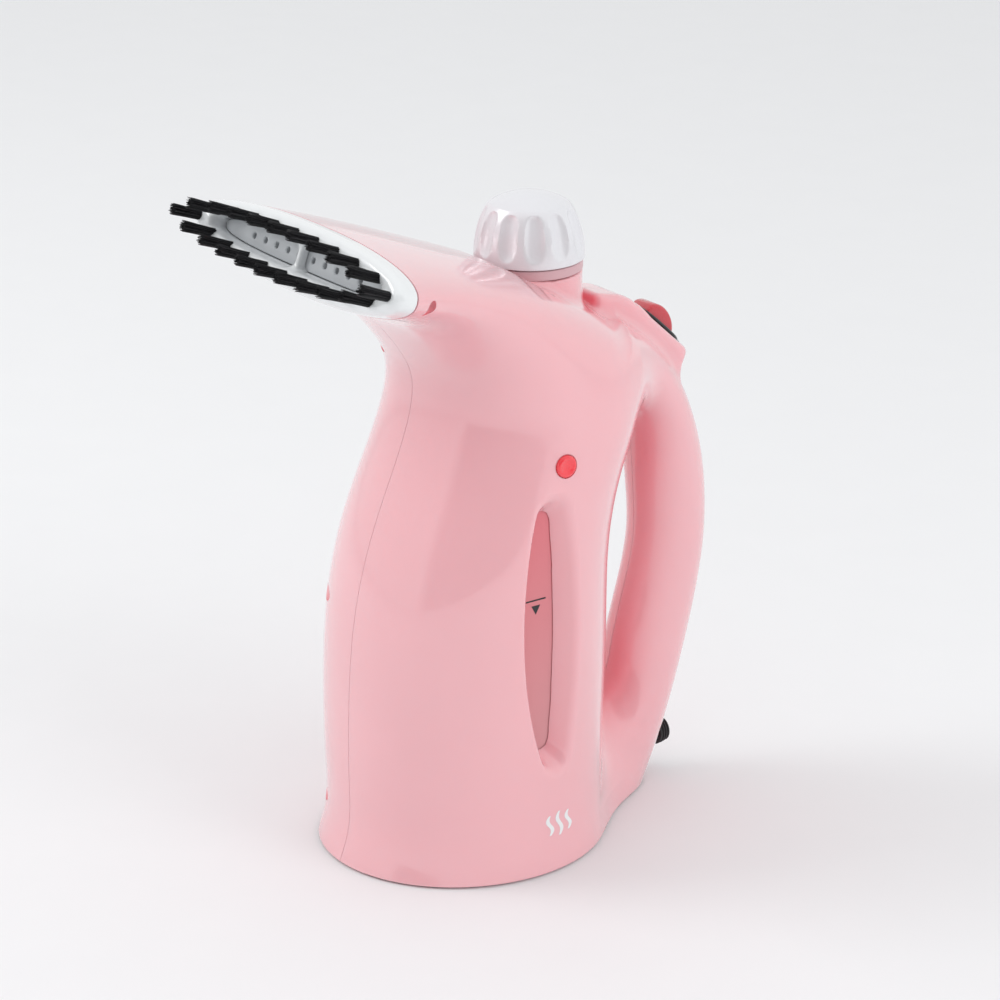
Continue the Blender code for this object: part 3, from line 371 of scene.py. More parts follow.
def net(values, low, pitch):
    """Surface net of the zero level: one vertex in each crossed cell, one quad for each crossed edge."""
    inside = values < 0
    cells = tuple(n - 1 for n in values.shape)
    corner_slices = [tuple(slice(o, o + n) for o, n in zip(offset, cells)) for offset in np.ndindex(2, 2, 2)]
    total = sum(inside[s].astype(np.int8) for s in corner_slices)
    index = np.argwhere((total > 0) & (total < 8))
    corners = np.array(list(np.ndindex(2, 2, 2)))
    level = np.stack([values[s][tuple(index.T)] for s in corner_slices], axis=1)
    sums, count = np.zeros((len(index), 3)), np.zeros(len(index))
    for a in range(8):
        for axis in range(3):
            if corners[a, axis]:
                continue
            b = a + (4, 2, 1)[axis]
            va, vb = level[:, a], level[:, b]
            crossed = (va < 0) != (vb < 0)
            share = np.where(crossed, va / np.where(crossed, va - vb, 1.0), 0.0)
            point = corners[a] + share[:, None] * (corners[b] - corners[a])
            sums += np.where(crossed[:, None], point, 0.0)
            count += crossed
    verts = np.asarray(low) + pitch * (index + sums / count[:, None])
    number = np.full(cells, -1, np.int64)
    number[tuple(index.T)] = np.arange(len(index))
    quads = []
    for axis in range(3):
        u, v = (axis + 1) % 3, (axis + 2) % 3
        first = [slice(1, n - 1) for n in values.shape]
        first[axis] = slice(0, values.shape[axis] - 1)
        second = list(first)
        second[axis] = slice(1, values.shape[axis])
        crossed = inside[tuple(first)] != inside[tuple(second)]
        at = np.argwhere(crossed) + [s.start for s in first]
        outward = inside[tuple(at.T)]
        around = []
        for du, dv in ((-1, -1), (0, -1), (0, 0), (-1, 0)):
            cell = at.copy()
            cell[:, u] += du
            cell[:, v] += dv
            around.append(number[tuple(cell.T)])
        quad = np.stack(around, axis=1)
        quads.append(np.where(outward[:, None], quad, quad[:, ::-1]))
    return verts, np.concatenate(quads)


def gradient(field, verts):
    """Value and slope of the field at each vertex."""
    x, y, z = verts.T
    centre = field(x, y, z)
    ahead = [field(x + STEP, y, z), field(x, y + STEP, z), field(x, y, z + STEP)]
    return centre, (np.stack(ahead, axis=1) - centre[:, None]) / STEP


def settle(field, verts, quads):
    """Even the vertices out along the surface and bring them exactly onto it."""
    for turn in range(SETTLE_ROUNDS):
        total = np.zeros_like(verts)
        count = np.zeros(len(verts))
        for a, b in ((0, 1), (1, 2), (2, 3), (3, 0)):
            for i, j in ((a, b), (b, a)):
                for axis in range(3):
                    total[:, axis] += np.bincount(quads[:, i], verts[quads[:, j], axis], len(verts))
                count += np.bincount(quads[:, i], minlength=len(verts))
        if turn < SETTLE_ROUNDS - 1:
            verts = verts + 0.6 * (total / count[:, None] - verts)
        centre, slope = gradient(field, verts)
        size = np.maximum((slope**2).sum(1), 0.05)
        verts = verts - slope * (centre / size)[:, None]
    return verts


def field_mesh(name, field, low, high, pitch):
    axes = [np.arange(a, b + pitch, pitch) for a, b in zip(low, high)]
    x, y, z = (v.reshape([-1 if i == j else 1 for j in range(3)]) for i, v in enumerate(axes))
    values = field(x, y, z)
    verts, quads = net(values, low, pitch)
    verts = settle(field, verts, quads)
    mesh = bpy.data.meshes.new(name)
    mesh.from_pydata(verts.tolist(), [], quads.tolist())
    mesh.update()
    return mesh


# ---- mesh helpers

def link(name, data, matrix=None):
    """New object in the scene; a matrix moves the mesh itself."""
    item = bpy.data.objects.new(name, data)
    bpy.context.scene.collection.objects.link(item)
    if matrix is not None:
        data.transform(matrix)
    return item


def boolean(item, operation, *tools):
    """Cut, join or intersect with the tools, which are used up."""
    for tool in tools:
        modifier = item.modifiers.new(operation.lower(), "BOOLEAN")
        modifier.operation, modifier.solver, modifier.object = operation, "MANIFOLD", tool
    bpy.context.view_layer.update()
    depsgraph = bpy.context.evaluated_depsgraph_get()
    mesh = bpy.data.meshes.new_from_object(item.evaluated_get(depsgraph))
    item.modifiers.clear()
    item.data = mesh
    for tool in tools:
        bpy.data.objects.remove(tool, do_unlink=True)
    return item


def cut(item, *tools):
    return boolean(item, "DIFFERENCE", *tools)


def join(item, *tools):
    return boolean(item, "UNION", *tools)


def smooth(item, degrees=35.0):
    item.data.shade_smooth()
    item.data.set_sharp_from_angle(angle=math.radians(degrees))
    return item


def oval_points(power, points):
    """Points of a unit superellipse."""
    result = []
    for i in range(points):
        angle = 2 * math.pi * (i + 0.5) / points
        c, s = math.cos(angle), math.sin(angle)
        result.append((math.copysign(abs(c) ** (2 / power), c), math.copysign(abs(s) ** (2 / power), s)))
    return result


def new_mesh(name, bm):
    """Mesh of a bmesh, which is used up, with its faces turned outwards."""
    bmesh.ops.recalc_face_normals(bm, faces=bm.faces)
    mesh = bpy.data.meshes.new(name)
    bm.to_mesh(mesh)
    bm.free()
    return mesh


def skin(name, rings, matrix=None):
    """Closed skin over a row of rings."""
    bm = bmesh.new()
    rows = [[bm.verts.new(point) for point in ring] for ring in rings]
    count = len(rings[0])
    for low, high in zip(rows, rows[1:]):
        for i in range(count):
            j = (i + 1) % count
            bm.faces.new((low[i], low[j], high[j], high[i]))
    bm.faces.new(rows[0])
    bm.faces.new(rows[-1])
    return smooth(link(name, new_mesh(name, bm), matrix))


def frame_matrix(place, z_axis):
    z = Vector(z_axis).normalized()
    helper = Vector((1.0, 0.0, 0.0)) if abs(z.x) < 0.9 else Vector((0.0, 1.0, 0.0))
    y = z.cross(helper).normalized()
    turn = Matrix((y.cross(z), y, z)).transposed().to_4x4()
    return Matrix.Translation(place) @ turn


def rounded(profile, radius, steps=4, closed=False):
    """Fillet the corners of an outline of (radius, height) points."""
    points = [Vector(p) for p in profile]
    result = []
    count = len(points)
    for i, p in enumerate(points):
        if not closed and i in (0, count - 1):
            result.append(p)
            continue
        before, after = points[i - 1] - p, points[(i + 1) % count] - p
        reach = min(radius, before.length * 0.45, after.length * 0.45)
        a, b = p + before.normalized() * reach, p + after.normalized() * reach
        for step in range(steps + 1):
            t = step / steps
            result.append(a * (1 - t) ** 2 + p * 2 * t * (1 - t) + b * t * t)
    return result


def turned(name, profile, segments=64, place=(0, 0, 0), axis=(0, 0, 1), closed=False):
    """Solid of revolution of an outline of (radius, height) points."""
    bm = bmesh.new()
    rows = []
    for radius, height in profile:
        if radius < 1e-7:
            rows.append([bm.verts.new((0.0, 0.0, height))])
        else:
            angles = [2 * math.pi * i / segments for i in range(segments)]
            rows.append([bm.verts.new((radius * math.cos(a), radius * math.sin(a), height)) for a in angles])
    pairs = list(zip(rows, rows[1:]))
    if closed:
        pairs.append((rows[-1], rows[0]))
    for low, high in pairs:
        for i in range(segments):
            j = (i + 1) % segments
            face = [low[i % len(low)], low[j % len(low)], high[j % len(high)], high[i % len(high)]]
            bm.faces.new(list(dict.fromkeys(face)))
    return smooth(link(name, new_mesh(name, bm), frame_matrix(place, axis)))


def rod(radius, start, end, segments=48, grow=1.0):
    start, end = Vector(start), Vector(end)
    length = (end - start).length
    profile = [(0, 0), (radius, 0), (radius * grow, length), (0, length)]
    return turned("rod", profile, segments, start, end - start)


def box(size, matrix, bevel=0.0):
    bm = bmesh.new()
    bmesh.ops.create_cube(bm, size=1.0)
    bmesh.ops.scale(bm, vec=Vector(size), verts=bm.verts)
    if bevel:
        bmesh.ops.bevel(bm, geom=bm.edges[:], offset=bevel, segments=3, profile=0.5, affect="EDGES")
    return link("box", new_mesh("box", bm), matrix)


def at(x, y, z):
    return Vector((x, y, z))


# ---- housing shells

def section_ring(row, points, inset):
    first, last = Vector((0.0, row[0], row[1])), Vector((0.0, row[2], row[3]))
    reach = (last - first).normalized() * inset
    centre, arm, width = (first + last) / 2, (last - first) / 2 - reach, row[4] - inset
    return [centre + arm * along + at(width * across, 0, 0) for along, across in oval_points(row[5], points)]


def tube_rings(tube, steps, points, inset):
    return [section_ring(tube.section(t), points, inset) for t in np.linspace(0.0, tube.knots[-1], steps)]


def bisect(inside, low, high):
    """Where inside stops being true between low and high."""
    for _ in range(30):
        middle = (low + high) / 2
        within = inside(middle)
        low, high = np.where(within, middle, low), np.where(within, high, middle)
    return low


def window_ring(x, grow, points=96):
    """Outline of the window's opening, grown by grow, in the plane of x."""
    angles = 2 * np.pi * (np.arange(points) + 0.5) / points
    way_y, way_z = WINDOW_HALF[0] * np.cos(angles), WINDOW_HALF[1] * np.sin(angles)

    def inside(share):
        return window_distance(WINDOW_MIDDLE[0] + share * way_y, WINDOW_MIDDLE[1] + share * way_z) < grow

    reach = bisect(inside, np.zeros(points), np.full(points, 3.0))
    return [at(x, WINDOW_MIDDLE[0] + r * y, WINDOW_MIDDLE[1] + r * z) for r, y, z in zip(reach, way_y, way_z)]


def lip_growth(x):
    """How far the window's sloping wall and its rounded lip have widened at the distance x from the middle."""
    depth = min(max(WINDOW_OUTER_X - x, 0.0), WINDOW_LIP_REACH)
    lip = depth + WINDOW_LIP_REACH - 2 * math.sqrt(WINDOW_LIP_REACH * depth)
    return WINDOW_DRAFT * (x - WINDOW_FLOOR_X) + lip


def cavity():
    rings = tube_rings(BODY, 40, 56, WALL)
    low_end, nose_end = [p - at(0, 0, 0.01) for p in rings[0]], [p + NOZZLE_AXIS * 0.02 for p in rings[-1]]
    room = skin("room", [low_end] + rings + [nose_end])
    grip = tube_rings(HANDLE, 24, 32, WALL)
    join(room, skin("grip_room", grip + [[p - at(0, 0, 0.01) for p in grip[-1]]]))
    cut(room, rod(POCKET_RADIUS + WALL, at(0, NECK_Y, POCKET_FLOOR - WALL), at(0, NECK_Y, 0.29)))
    join(room, rod(NECK_RADIUS - WALL, at(0, NECK_Y, 0.18), at(0, NECK_Y, 0.24)))
    posts = [rod(POST_RADIUS, at(-0.09, y, z), at(0.09, y, z), 24) for y, z in HOUSING_SCREWS]
    levels = [WINDOW_FLOOR_X + 0.0078 * i / 12 for i in range(13)]
    rings = [window_ring(x, lip_growth(x) + WINDOW_WALL) for x in levels]
    rings.append(window_ring(0.08, lip_growth(levels[-1]) + WINDOW_WALL))
    return cut(room, skin("window_wall", rings), *posts)


def switch_matrix():
    turn = Matrix((Vector((1.0, 0.0, 0.0)), SWITCH_DOWN, SWITCH_OUT)).transposed().to_4x4()
    return Matrix.Translation(SWITCH_CENTRE) @ turn


def read(items, attribute, width=1, kind=float):
    values = np.zeros(len(items) * width, kind)
    items.foreach_get(attribute, values)
    return values.reshape(-1, width) if width > 1 else values


def set_normals(item, field, mirrored):
    """Give the outside of a shell the exact normals of its field."""
    mesh = item.data
    mesh.shade_smooth()
    mesh.set_sharp_from_angle(angle=math.radians(30))
    verts = read(mesh.vertices, "co", 3)
    flip = np.array([-1.0, 1.0, 1.0]) if mirrored else np.ones(3)
    centre, slope = gradient(field, verts * flip)
    slope = slope * flip / np.maximum(np.linalg.norm(slope, axis=1), 1e-9)[:, None]
    corner_vertex = read(mesh.loops, "vertex_index", kind=np.int64)
    corner_normal = read(mesh.corner_normals, "vector", 3)
    totals = read(mesh.polygons, "loop_total", kind=np.int64)
    face_normal = np.repeat(read(mesh.polygons, "normal", 3), totals, axis=0)
    exact = slope[corner_vertex]
    fits = (np.abs(centre[corner_vertex]) < 3e-5) & ((exact * face_normal).sum(1) > 0.8)
    normals = np.where(fits[:, None], exact, corner_normal)
    mesh.normals_split_custom_set(normals.tolist())


def drop_tool():
    """Small drop-shaped dent low on the side of the head, right behind the nozzle."""
    way = (DROP_ROUND - DROP_POINT).normalized()
    length = (DROP_ROUND - DROP_POINT).length
    profile = [(0.0, 0.0)]
    for i in range(1, 12):
        share = i / 12
        profile.append((DROP_RADIUS * math.sin(math.pi * share ** 1.7) ** 0.8, length * share))
    return turned("drop", profile + [(0.0, length)], 32, DROP_POINT, way)


def make_shell(name, field, side, room):
    mesh = field_mesh(name, field, *SHELL_ROOM, SHELL_PITCH)
    if side < 0:
        mesh.transform(Matrix.Scale(-1.0, 4, Vector((1.0, 0.0, 0.0))))
        mesh.flip_normals()
    shell = link(name, mesh)
    half = box((0.2, 0.5, 0.5), Matrix.Translation(at(side * (0.1 + SEAM_GAP), 0, BASE_EDGE + 0.25)))
    nose = box((0.4, 0.4, 0.4), frame_matrix(NOZZLE_BACK + NOZZLE_AXIS * 0.2, NOZZLE_AXIS))
    tools = [nose, room, box(SWITCH_CUT, switch_matrix())]
    tools.append(rod(GLAND_HOLE, GLAND_PLACE - at(0, 0.02, 0), GLAND_PLACE + at(0, 0.02, 0)))
    if side > 0:
        tools.append(skin("window_cut", [window_ring(x, 0.0) for x in (0.040, 0.048)]))
        tools.append(drop_tool())
        tools.append(rod(LENS_RADIUS + GAP, LENS_PLACE + at(LENS_SEAT_X, 0, 0), LENS_PLACE + at(0.07, 0, 0)))
        tools.append(rod(LENS_HOLE, LENS_PLACE + at(0.04, 0, 0), LENS_PLACE + at(0.06, 0, 0)))
    else:
        for y, z in HOUSING_SCREWS:
            tools.append(rod(SCREW_HEAD_RADIUS + GAP, at(-0.08, y, z), at(-SCREW_SEAT_X + GAP, y, z)))
            tools.append(rod(SCREW_RADIUS + GAP, at(-0.02, y, z), at(0.0098, y, z)))
    boolean(shell, "INTERSECT", half)
    for tool in tools:
        cut(shell, tool)
    set_normals(shell, field, side < 0)
    return shell


def finish_piece(item, body, slot, *nodes):
    """Attach a piece to the body it rides on, set its material slot and hide the CAD nodes it stands for."""
    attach(item, body)
    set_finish(item, slot)
    if nodes:
        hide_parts(*nodes)
    return item


def make_shells():
    room = cavity()
    spare_room = link("spare_room", room.data.copy())
    left = make_shell("left_shell_skin", left_field, 1.0, room)
    finish_piece(left, "housing", "pink_plastic", "left_shell")
    right = make_shell("right_shell_skin", right_field, -1.0, spare_room)
    finish_piece(right, "housing", "pink_plastic", "right_shell")


make_shells()


# ---- nozzle

def nozzle_skin(name, stack, power=NOZZLE_POWER, points=160):
    """Skin of flat ovals (half length, half height, depth) in front of the nozzle."""
    oval = oval_points(power, points)
    rings = [[NOZZLE_FRAME @ at(long * x, high * up, depth) for x, up in oval] for long, high, depth in stack]
    return skin(name, rings)


def brush_field(x, up, depth):
    length, height = NOZZLE_HALF
    ring = smooth_max(oval_distance(x, up, length, height, NOZZLE_POWER), depth - BRUSH_DEPTH, 0.0050)
    ring = smooth_max(ring, GAP - depth, 0.0006)
    spigot = oval_distance(x, up, length - SPIGOT_INSET[0], height - SPIGOT_INSET[1], NOZZLE_POWER)
    spigot = np.maximum(spigot, np.maximum(-SPIGOT_DEPTH - depth, depth - 0.002))
    bridge = smooth_max(np.abs(x) - BRIDGE_WIDTH / 2, ISLAND_TOP + GAP - depth, 0.0004)
    bridge = smooth_max(bridge, depth - BRIDGE_TOP, 0.0012)
    opening = oval_distance(x, up, *BRUSH_OPENING, OPENING_POWER) - 0.25 * np.maximum(depth - 0.0045, 0.0)
    opening = smooth_max(opening, -bridge, 0.0030)
    return smooth_max(np.minimum(ring, spigot), -opening, 0.0022)


def make_brush_frame():
    length, height = NOZZLE_HALF
    low = (-length - 0.002, -height - 0.002, -SPIGOT_DEPTH - 0.002)
    high = (length + 0.002, height + 0.002, BRUSH_DEPTH + 0.002)
    mesh = field_mesh("brush_frame_skin", brush_field, low, high, BRUSH_PITCH)
    mesh.transform(NOZZLE_FRAME)
    finish_piece(smooth(link("brush_frame_skin", mesh), 60), "brush", "white_plastic", "brush_frame")


def make_steam_plate():
    length, height = NOZZLE_HALF[0] - PLATE_INSET[0], NOZZLE_HALF[1] - PLATE_INSET[1]
    plate = nozzle_skin("steam_plate_skin", [(length, height, PLATE_BACK), (length, height, PLATE_FACE)])
    island = (BRUSH_OPENING[0] - ISLAND_GAP, BRUSH_OPENING[1] - ISLAND_GAP)
    stack = [
        (*island, PLATE_FACE - 0.0005), (*island, ISLAND_TOP - 0.0004),
        (island[0] - 0.0002, island[1] - 0.0002, ISLAND_TOP - 0.0001),
        (island[0] - 0.0005, island[1] - 0.0005, ISLAND_TOP),
    ]
    join(plate, nozzle_skin("island", stack, OPENING_POWER))
    start = NOZZLE_BACK + NOZZLE_AXIS * (PLATE_BACK + 0.0005)
    join(plate, rod(0.0075, start - NOZZLE_AXIS * 0.0050, start))
    tools = [rod(0.0045, start - NOZZLE_AXIS * 0.008, start + NOZZLE_AXIS * 0.0005)]
    for index in range(2 * STEAM_HOLES_EACH_SIDE):
        step = index - STEAM_HOLES_EACH_SIDE
        step += 0.4 if step < 0 else 0.6
        place = NOZZLE_BACK + at(step * STEAM_HOLE_PITCH, 0, 0)
        tools.append(rod(STEAM_HOLE_RADIUS, place - NOZZLE_AXIS * 0.02, place + NOZZLE_AXIS * 0.01, 32))
        tip = place + NOZZLE_AXIS * (ISLAND_TOP + 0.0001)
        tools.append(rod(STEAM_HOLE_RADIUS, tip - NOZZLE_AXIS * 0.0005, tip, 32, 1.4))
    cut(plate, *tools)
    # The steam plate's grey is painted shade for the shadowed recess behind the brush opening.
    finish_piece(smooth(plate), "brush", "grey_plastic", "steam_plate")


def tuft_places():
    """Centre of each tuft across the nozzle face: an upper and a lower row and the two ends."""
    half_length, half_height = TUFT_ROW
    places = []
    for row in (1.0, -1.0):
        for x in TUFT_ROW_X:
            share = (1.0 - abs(x / half_length) ** TUFT_POWER) ** (1 / TUFT_POWER)
            places.append((x, row * half_height * share))
    return places + [(-half_length, 0.0), (half_length, 0.0)]


def make_tuft(index, x, rise, random):
    """One bunch of bristles that spreads and frays a little towards its tip."""
    bm = bmesh.new()
    for k in range(BRISTLES):
        turn, reach = k * 2.39996, math.sqrt((k + 0.5) / BRISTLES)
        way = Vector((math.cos(turn), math.sin(turn), 0.0))
        root = way * (TUFT_RADIUS - 0.0002) * reach
        splay = way * 0.0006 * reach * random.uniform(0.2, 1.0)
        stray = Vector((random.normal(0, 0.00012), random.normal(0, 0.00012), 0.0))
        length = TUFT_LENGTH - 0.0002 - abs(random.normal(0, 0.00045))
        rows = []
        for t, thick in ((-0.15, 0.00023), (0.0, 0.00023), (0.45, 0.00023), (0.85, 0.00021), (1.0, 0.00013)):
            bend = max(t, 0.0) ** 1.7
            centre = root + (splay + stray) * bend + Vector((0, 0, length * t))
            rows.append([
                bm.verts.new(centre + Vector((thick * math.cos(a), thick * math.sin(a), 0.0)))
                for a in (turn, turn + 2.094, turn + 4.189)
            ])
        for low, high in zip(rows, rows[1:]):
            for i in range(3):
                bm.faces.new((low[i], low[(i + 1) % 3], high[(i + 1) % 3], high[i]))
        bm.faces.new(rows[0][::-1])
        bm.faces.new(rows[-1])
    node = f"tuft_{index + 1:02d}"
    name = node + "_bristles"
    tuft = link(name, new_mesh(name, bm), NOZZLE_FRAME @ Matrix.Translation((x, rise, BRUSH_DEPTH)))
    finish_piece(smooth(tuft, 60), "brush", "bristle_black", node)


def make_tufts():
    random = np.random.default_rng(7)
    for index, (x, rise) in enumerate(tuft_places()):
        make_tuft(index, x, rise, random)


make_brush_frame()
make_steam_plate()
make_tufts()


# ---- filler cap and neck

def cap_profile(t):
    """Radius and height of the cap's side for t from 0 at the rim to 1 at the shoulder."""
    turn = t * CAP_TURN
    reach = (CAP_RADIUS - CAP_DISC_RADIUS) / (1.0 - math.cos(CAP_TURN))
    rise = (CAP_DISC_Z - CAP_RIM_Z) / math.sin(CAP_TURN)
    return CAP_RADIUS - reach * (1.0 - math.cos(turn)), CAP_RIM_Z + rise * math.sin(turn)


def flute_depth(turn, t):
    """Depth of the cap's scalloped flutes; turn is measured in flutes and t runs up the side."""
    across = (turn - round(turn)) / 0.37
    along = (t - 0.50) / 0.40
    level = abs(across) ** 2.2 + abs(along) ** 3.2
    return FLUTE_DEPTH * max(0.0, 1.0 - level) ** 0.85


def make_cap():
    around, levels = FLUTES * 16, 48
    circle = [(math.cos(2 * math.pi * i / around), math.sin(2 * math.pi * i / around)) for i in range(around)]
    inside, rim = CAP_RADIUS - 0.0014, CAP_RADIUS - 0.0004
    rings = [[at(inside * c, inside * s, CAP_RIM_Z + 0.0012) for c, s in circle]]
    rings.append([at(rim * c, rim * s, CAP_RIM_Z) for c, s in circle])
    for level in range(levels + 1):
        t = 0.012 + 0.988 * level / levels
        radius, height = cap_profile(t)
        depths = [flute_depth(FLUTES * i / around, t) for i in range(around)]
        rings.append([at((radius - d) * c, (radius - d) * s, height) for d, (c, s) in zip(depths, circle)])
    for share in (0.985, 0.94, 0.86, 0.74, 0.6, 0.45, 0.3, 0.15, 0.04):
        radius = CAP_DISC_RADIUS * share
        height = CAP_DISC_Z + (CAP_TOP_Z - CAP_DISC_Z) * (1 - share**2.2)
        rings.append([at(radius * c, radius * s, height) for c, s in circle])
    cap = skin("cap_shell_skin", rings, matrix=Matrix.Translation((0.0, NECK_Y, 0.0)))
    hollow = [(0.0, 0.2300), (0.0190, 0.2300), (0.0178, 0.2400), (0.0128, 0.2505), (0.0, 0.2515)]
    cut(cap, turned("cap_hollow", hollow, 96, (0, NECK_Y, 0)))
    finish_piece(smooth(cap, 40), "cap", "pearl_plastic", "cap_shell")
    (inner, outer), (low, high) = COLLAR_RADII, COLLAR_LEVELS
    collar = rounded([(inner, low), (outer, low), (outer, high), (inner, high)], 0.0005, closed=True)
    collar = turned("neck_collar_skin", collar, 128, (0, NECK_Y, 0), closed=True)
    finish_piece(collar, "housing", "collar_plastic", "neck_collar")


make_cap()


# ---- switch, lamp and cord boot

def crossbar(radius, half, segments=48):
    """Rod along the rocker's axis."""
    return rod(radius, SWITCH_CENTRE - at(half, 0, 0), SWITCH_CENTRE + at(half, 0, 0), segments)


def make_bezel():
    turn, oval = switch_matrix(), oval_points(2.6, 96)
    stack = [(0.0, GAP), (0.0, 0.0007), (0.0001, 0.0010), (0.0004, 0.0013), (0.0008, 0.00145), (0.0012, 0.0015)]
    rings = []
    for inset, height in stack:
        long, wide = BEZEL_HALF[0] - inset, BEZEL_HALF[1] - inset
        rings.append([turn @ at(wide * across, long * along, height) for along, across in oval])
    bezel = skin("switch_bezel_skin", rings)
    join(bezel, box(SWITCH_CASE, turn @ Matrix.Translation((0, 0, -0.0060)), 0.0004))
    well = box(SWITCH_WELL, turn @ Matrix.Translation((0, 0, -0.0010)), 0.0009)
    cut(bezel, well, crossbar(PIVOT_RADIUS, PIVOT_HALF))
    finish_piece(smooth(bezel), "housing", "black_plastic", "switch_bezel")


def rocker_outline(shrink):
    """Side outline (along, out) of the rocker: one smooth hump, highest near its front end."""
    half, upper = ROCKER_HALF_LENGTH - shrink, []
    for i in range(33):
        share = math.cos(math.pi * i / 32)
        hump = 0.0030 + 0.0042 * (1 - abs(share) ** 2.6) ** 0.75
        fall = 0.0010 * max(-share, 0.0) * (1 - share * share) ** 0.5
        upper.append((-half * share, hump - fall - shrink))
    lower = []
    radius = math.hypot(half, 0.0026)
    for angle in np.radians(np.linspace(8.0, -38.0, 9)):
        lower.append((radius * math.cos(angle), radius * math.sin(angle)))
    outline = upper + lower + [(-along, out) for along, out in reversed(lower)]
    c, s = math.cos(ROCKER_TILT), math.sin(ROCKER_TILT)
    return [(along * c + out * s, -along * s + out * c) for along, out in outline]


def make_rocker():
    rings = []
    ends = ((1.0, 0.0013), (0.985, 0.0008), (0.94, 0.0004), (0.87, 0.00015), (0.78, 0.0))
    for share, shrink in [(-share, shrink) for share, shrink in ends] + list(reversed(ends)):
        rings.append([at(ROCKER_HALF_WIDTH * share, along, out) for along, out in rocker_outline(shrink)])
    rocker = skin("rocker_skin", rings, matrix=switch_matrix())
    join(rocker, crossbar(PIN_RADIUS, PIN_HALF, 24))
    finish_piece(smooth(rocker, 50), "rocker_switch", "red_clear", "rocker")


def make_lens():
    face = LENS_SEAT_X + GAP + 0.0016
    outline = [(0.0, LENS_BACK_X), (LENS_STEM, LENS_BACK_X)]
    outline += [(LENS_STEM, face - 0.0016), (LENS_RADIUS, face - 0.0016)]
    outline += [(LENS_RADIUS - 0.00003, face - 0.0008), (0.0041, face - 0.0003), (0.0037, face)]
    outline += [(0.0033 * s, face - 0.00075 * (1 - s**2)) for s in (1.0, 0.85, 0.7, 0.5, 0.3, 0.1)]
    lens = turned("indicator_lens_skin", outline + [(0.0, face - 0.00076)], 64, LENS_PLACE, (1, 0, 0))
    cut(lens, rod(0.0024, LENS_PLACE + at(0.036, 0, 0), LENS_PLACE + at(0.047, 0, 0)))
    finish_piece(smooth(lens, 40), "housing", "red_clear", "indicator_lens")


def make_boot():
    """Ribbed rubber boot where a cord would leave the handle's foot."""
    bore = 0.0034
    outline = [(bore, -0.0070), (0.0060, -0.0070), (0.0060, -0.0052), (0.0045, -0.0052), (0.0045, 0.0028)]
    outline += [(0.0056, 0.0028), (0.0056, 0.0038)]
    for rib in range(3):
        z = 0.0040 + rib * 0.0014
        outer, inner = 0.0055 - 0.00028 * rib, 0.0050 - 0.00028 * rib
        outline += [(inner, z), (inner, z + 0.0004), (outer, z + 0.0006), (outer, z + 0.0012)]
    outline += [(0.0044, 0.0083), (0.0040, 0.0085), (bore, 0.0085)]
    outline = rounded(outline, 0.0002, 2, closed=True)
    boot = turned("cord_gland_skin", outline, 64, GLAND_PLACE, (0, 1, 0), closed=True)
    finish_piece(smooth(boot, 40), "housing", "rubber", "cord_gland")


def make_level_marks():
    """Plain line for the highest level on the sight glass, with a small triangle under it."""
    x = SIGHT_GLASS_X + 0.00005
    marks = box((0.0002, 0.0092, 0.0006), Matrix.Translation(at(x, -0.0104, 0.1118)), 0.00006)
    outline = [(-0.0104, 0.1060), (-0.0084, 0.1096), (-0.0124, 0.1096)]
    join(marks, skin("triangle", [[at(x + side, y, z) for y, z in outline] for side in (-0.0001, 0.0001)]))
    marks.name = marks.data.name = "level_marks"
    finish_piece(marks, "housing", "black_plastic")


def make_emblem():
    """Three plain wavy steam strokes printed low on the left side."""
    bm = bmesh.new()
    steps = 24
    t = np.linspace(0.0, 1.0, steps + 1)
    for stroke, tall in ((-1, 0.0082), (0, 0.0100), (1, 0.0082)):
        middle_y = EMBLEM_MIDDLE[0] + stroke * 0.0048 + 0.0011 * np.sin(2 * np.pi * t)
        middle_z = EMBLEM_MIDDLE[1] + tall * (t - 0.5)
        half = 0.0010 * np.sin(np.pi * (0.06 + 0.88 * t)) ** 0.5
        rows = []
        for side, lift in ((-1, -0.0002), (-1, 0.00008), (1, 0.00008), (1, -0.0002)):
            y = middle_y + side * half
            near, far = np.full_like(y, 0.030), np.full_like(y, 0.070)
            x = bisect(lambda reach: BODY.distance(reach, y, middle_z) < 0, near, far) + lift
            rows.append([bm.verts.new(point) for point in zip(x.tolist(), y.tolist(), middle_z.tolist())])
        for a, b in zip(rows, rows[1:] + rows[:1]):
            for i in range(steps):
                bm.faces.new((a[i], a[i + 1], b[i + 1], b[i]))
        bm.faces.new([row[0] for row in rows])
        bm.faces.new([row[-1] for row in rows])
    finish_piece(smooth(link("steam_emblem", new_mesh("steam_emblem", bm))), "housing", "white_plastic")


make_bezel()
make_rocker()
make_lens()
make_boot()
make_level_marks()
make_emblem()


# ---- base, feet and screws

def make_screw(node, tip, seat, edge, top, place, axis):
    """Cross-head screw; tip, seat, edge and top are levels of its outline along the axis."""
    outline = [
        (0.0, tip), (SCREW_RADIUS, tip + 0.0010), (SCREW_RADIUS, seat), (SCREW_HEAD_RADIUS, seat),
        (SCREW_HEAD_RADIUS, edge), (0.0020, top), (0.0, top),
    ]
    screw = turned(node + "_skin", rounded(outline, 0.0003, 3), 40, place, axis)
    turn = frame_matrix(Vector(place) + Vector(axis) * top, axis)
    for size in ((0.0007, 0.0034, 0.0022), (0.0034, 0.0007, 0.0022)):
        cut(screw, box(size, turn, 0.0001))
    finish_piece(smooth(screw), "housing", "steel", node)


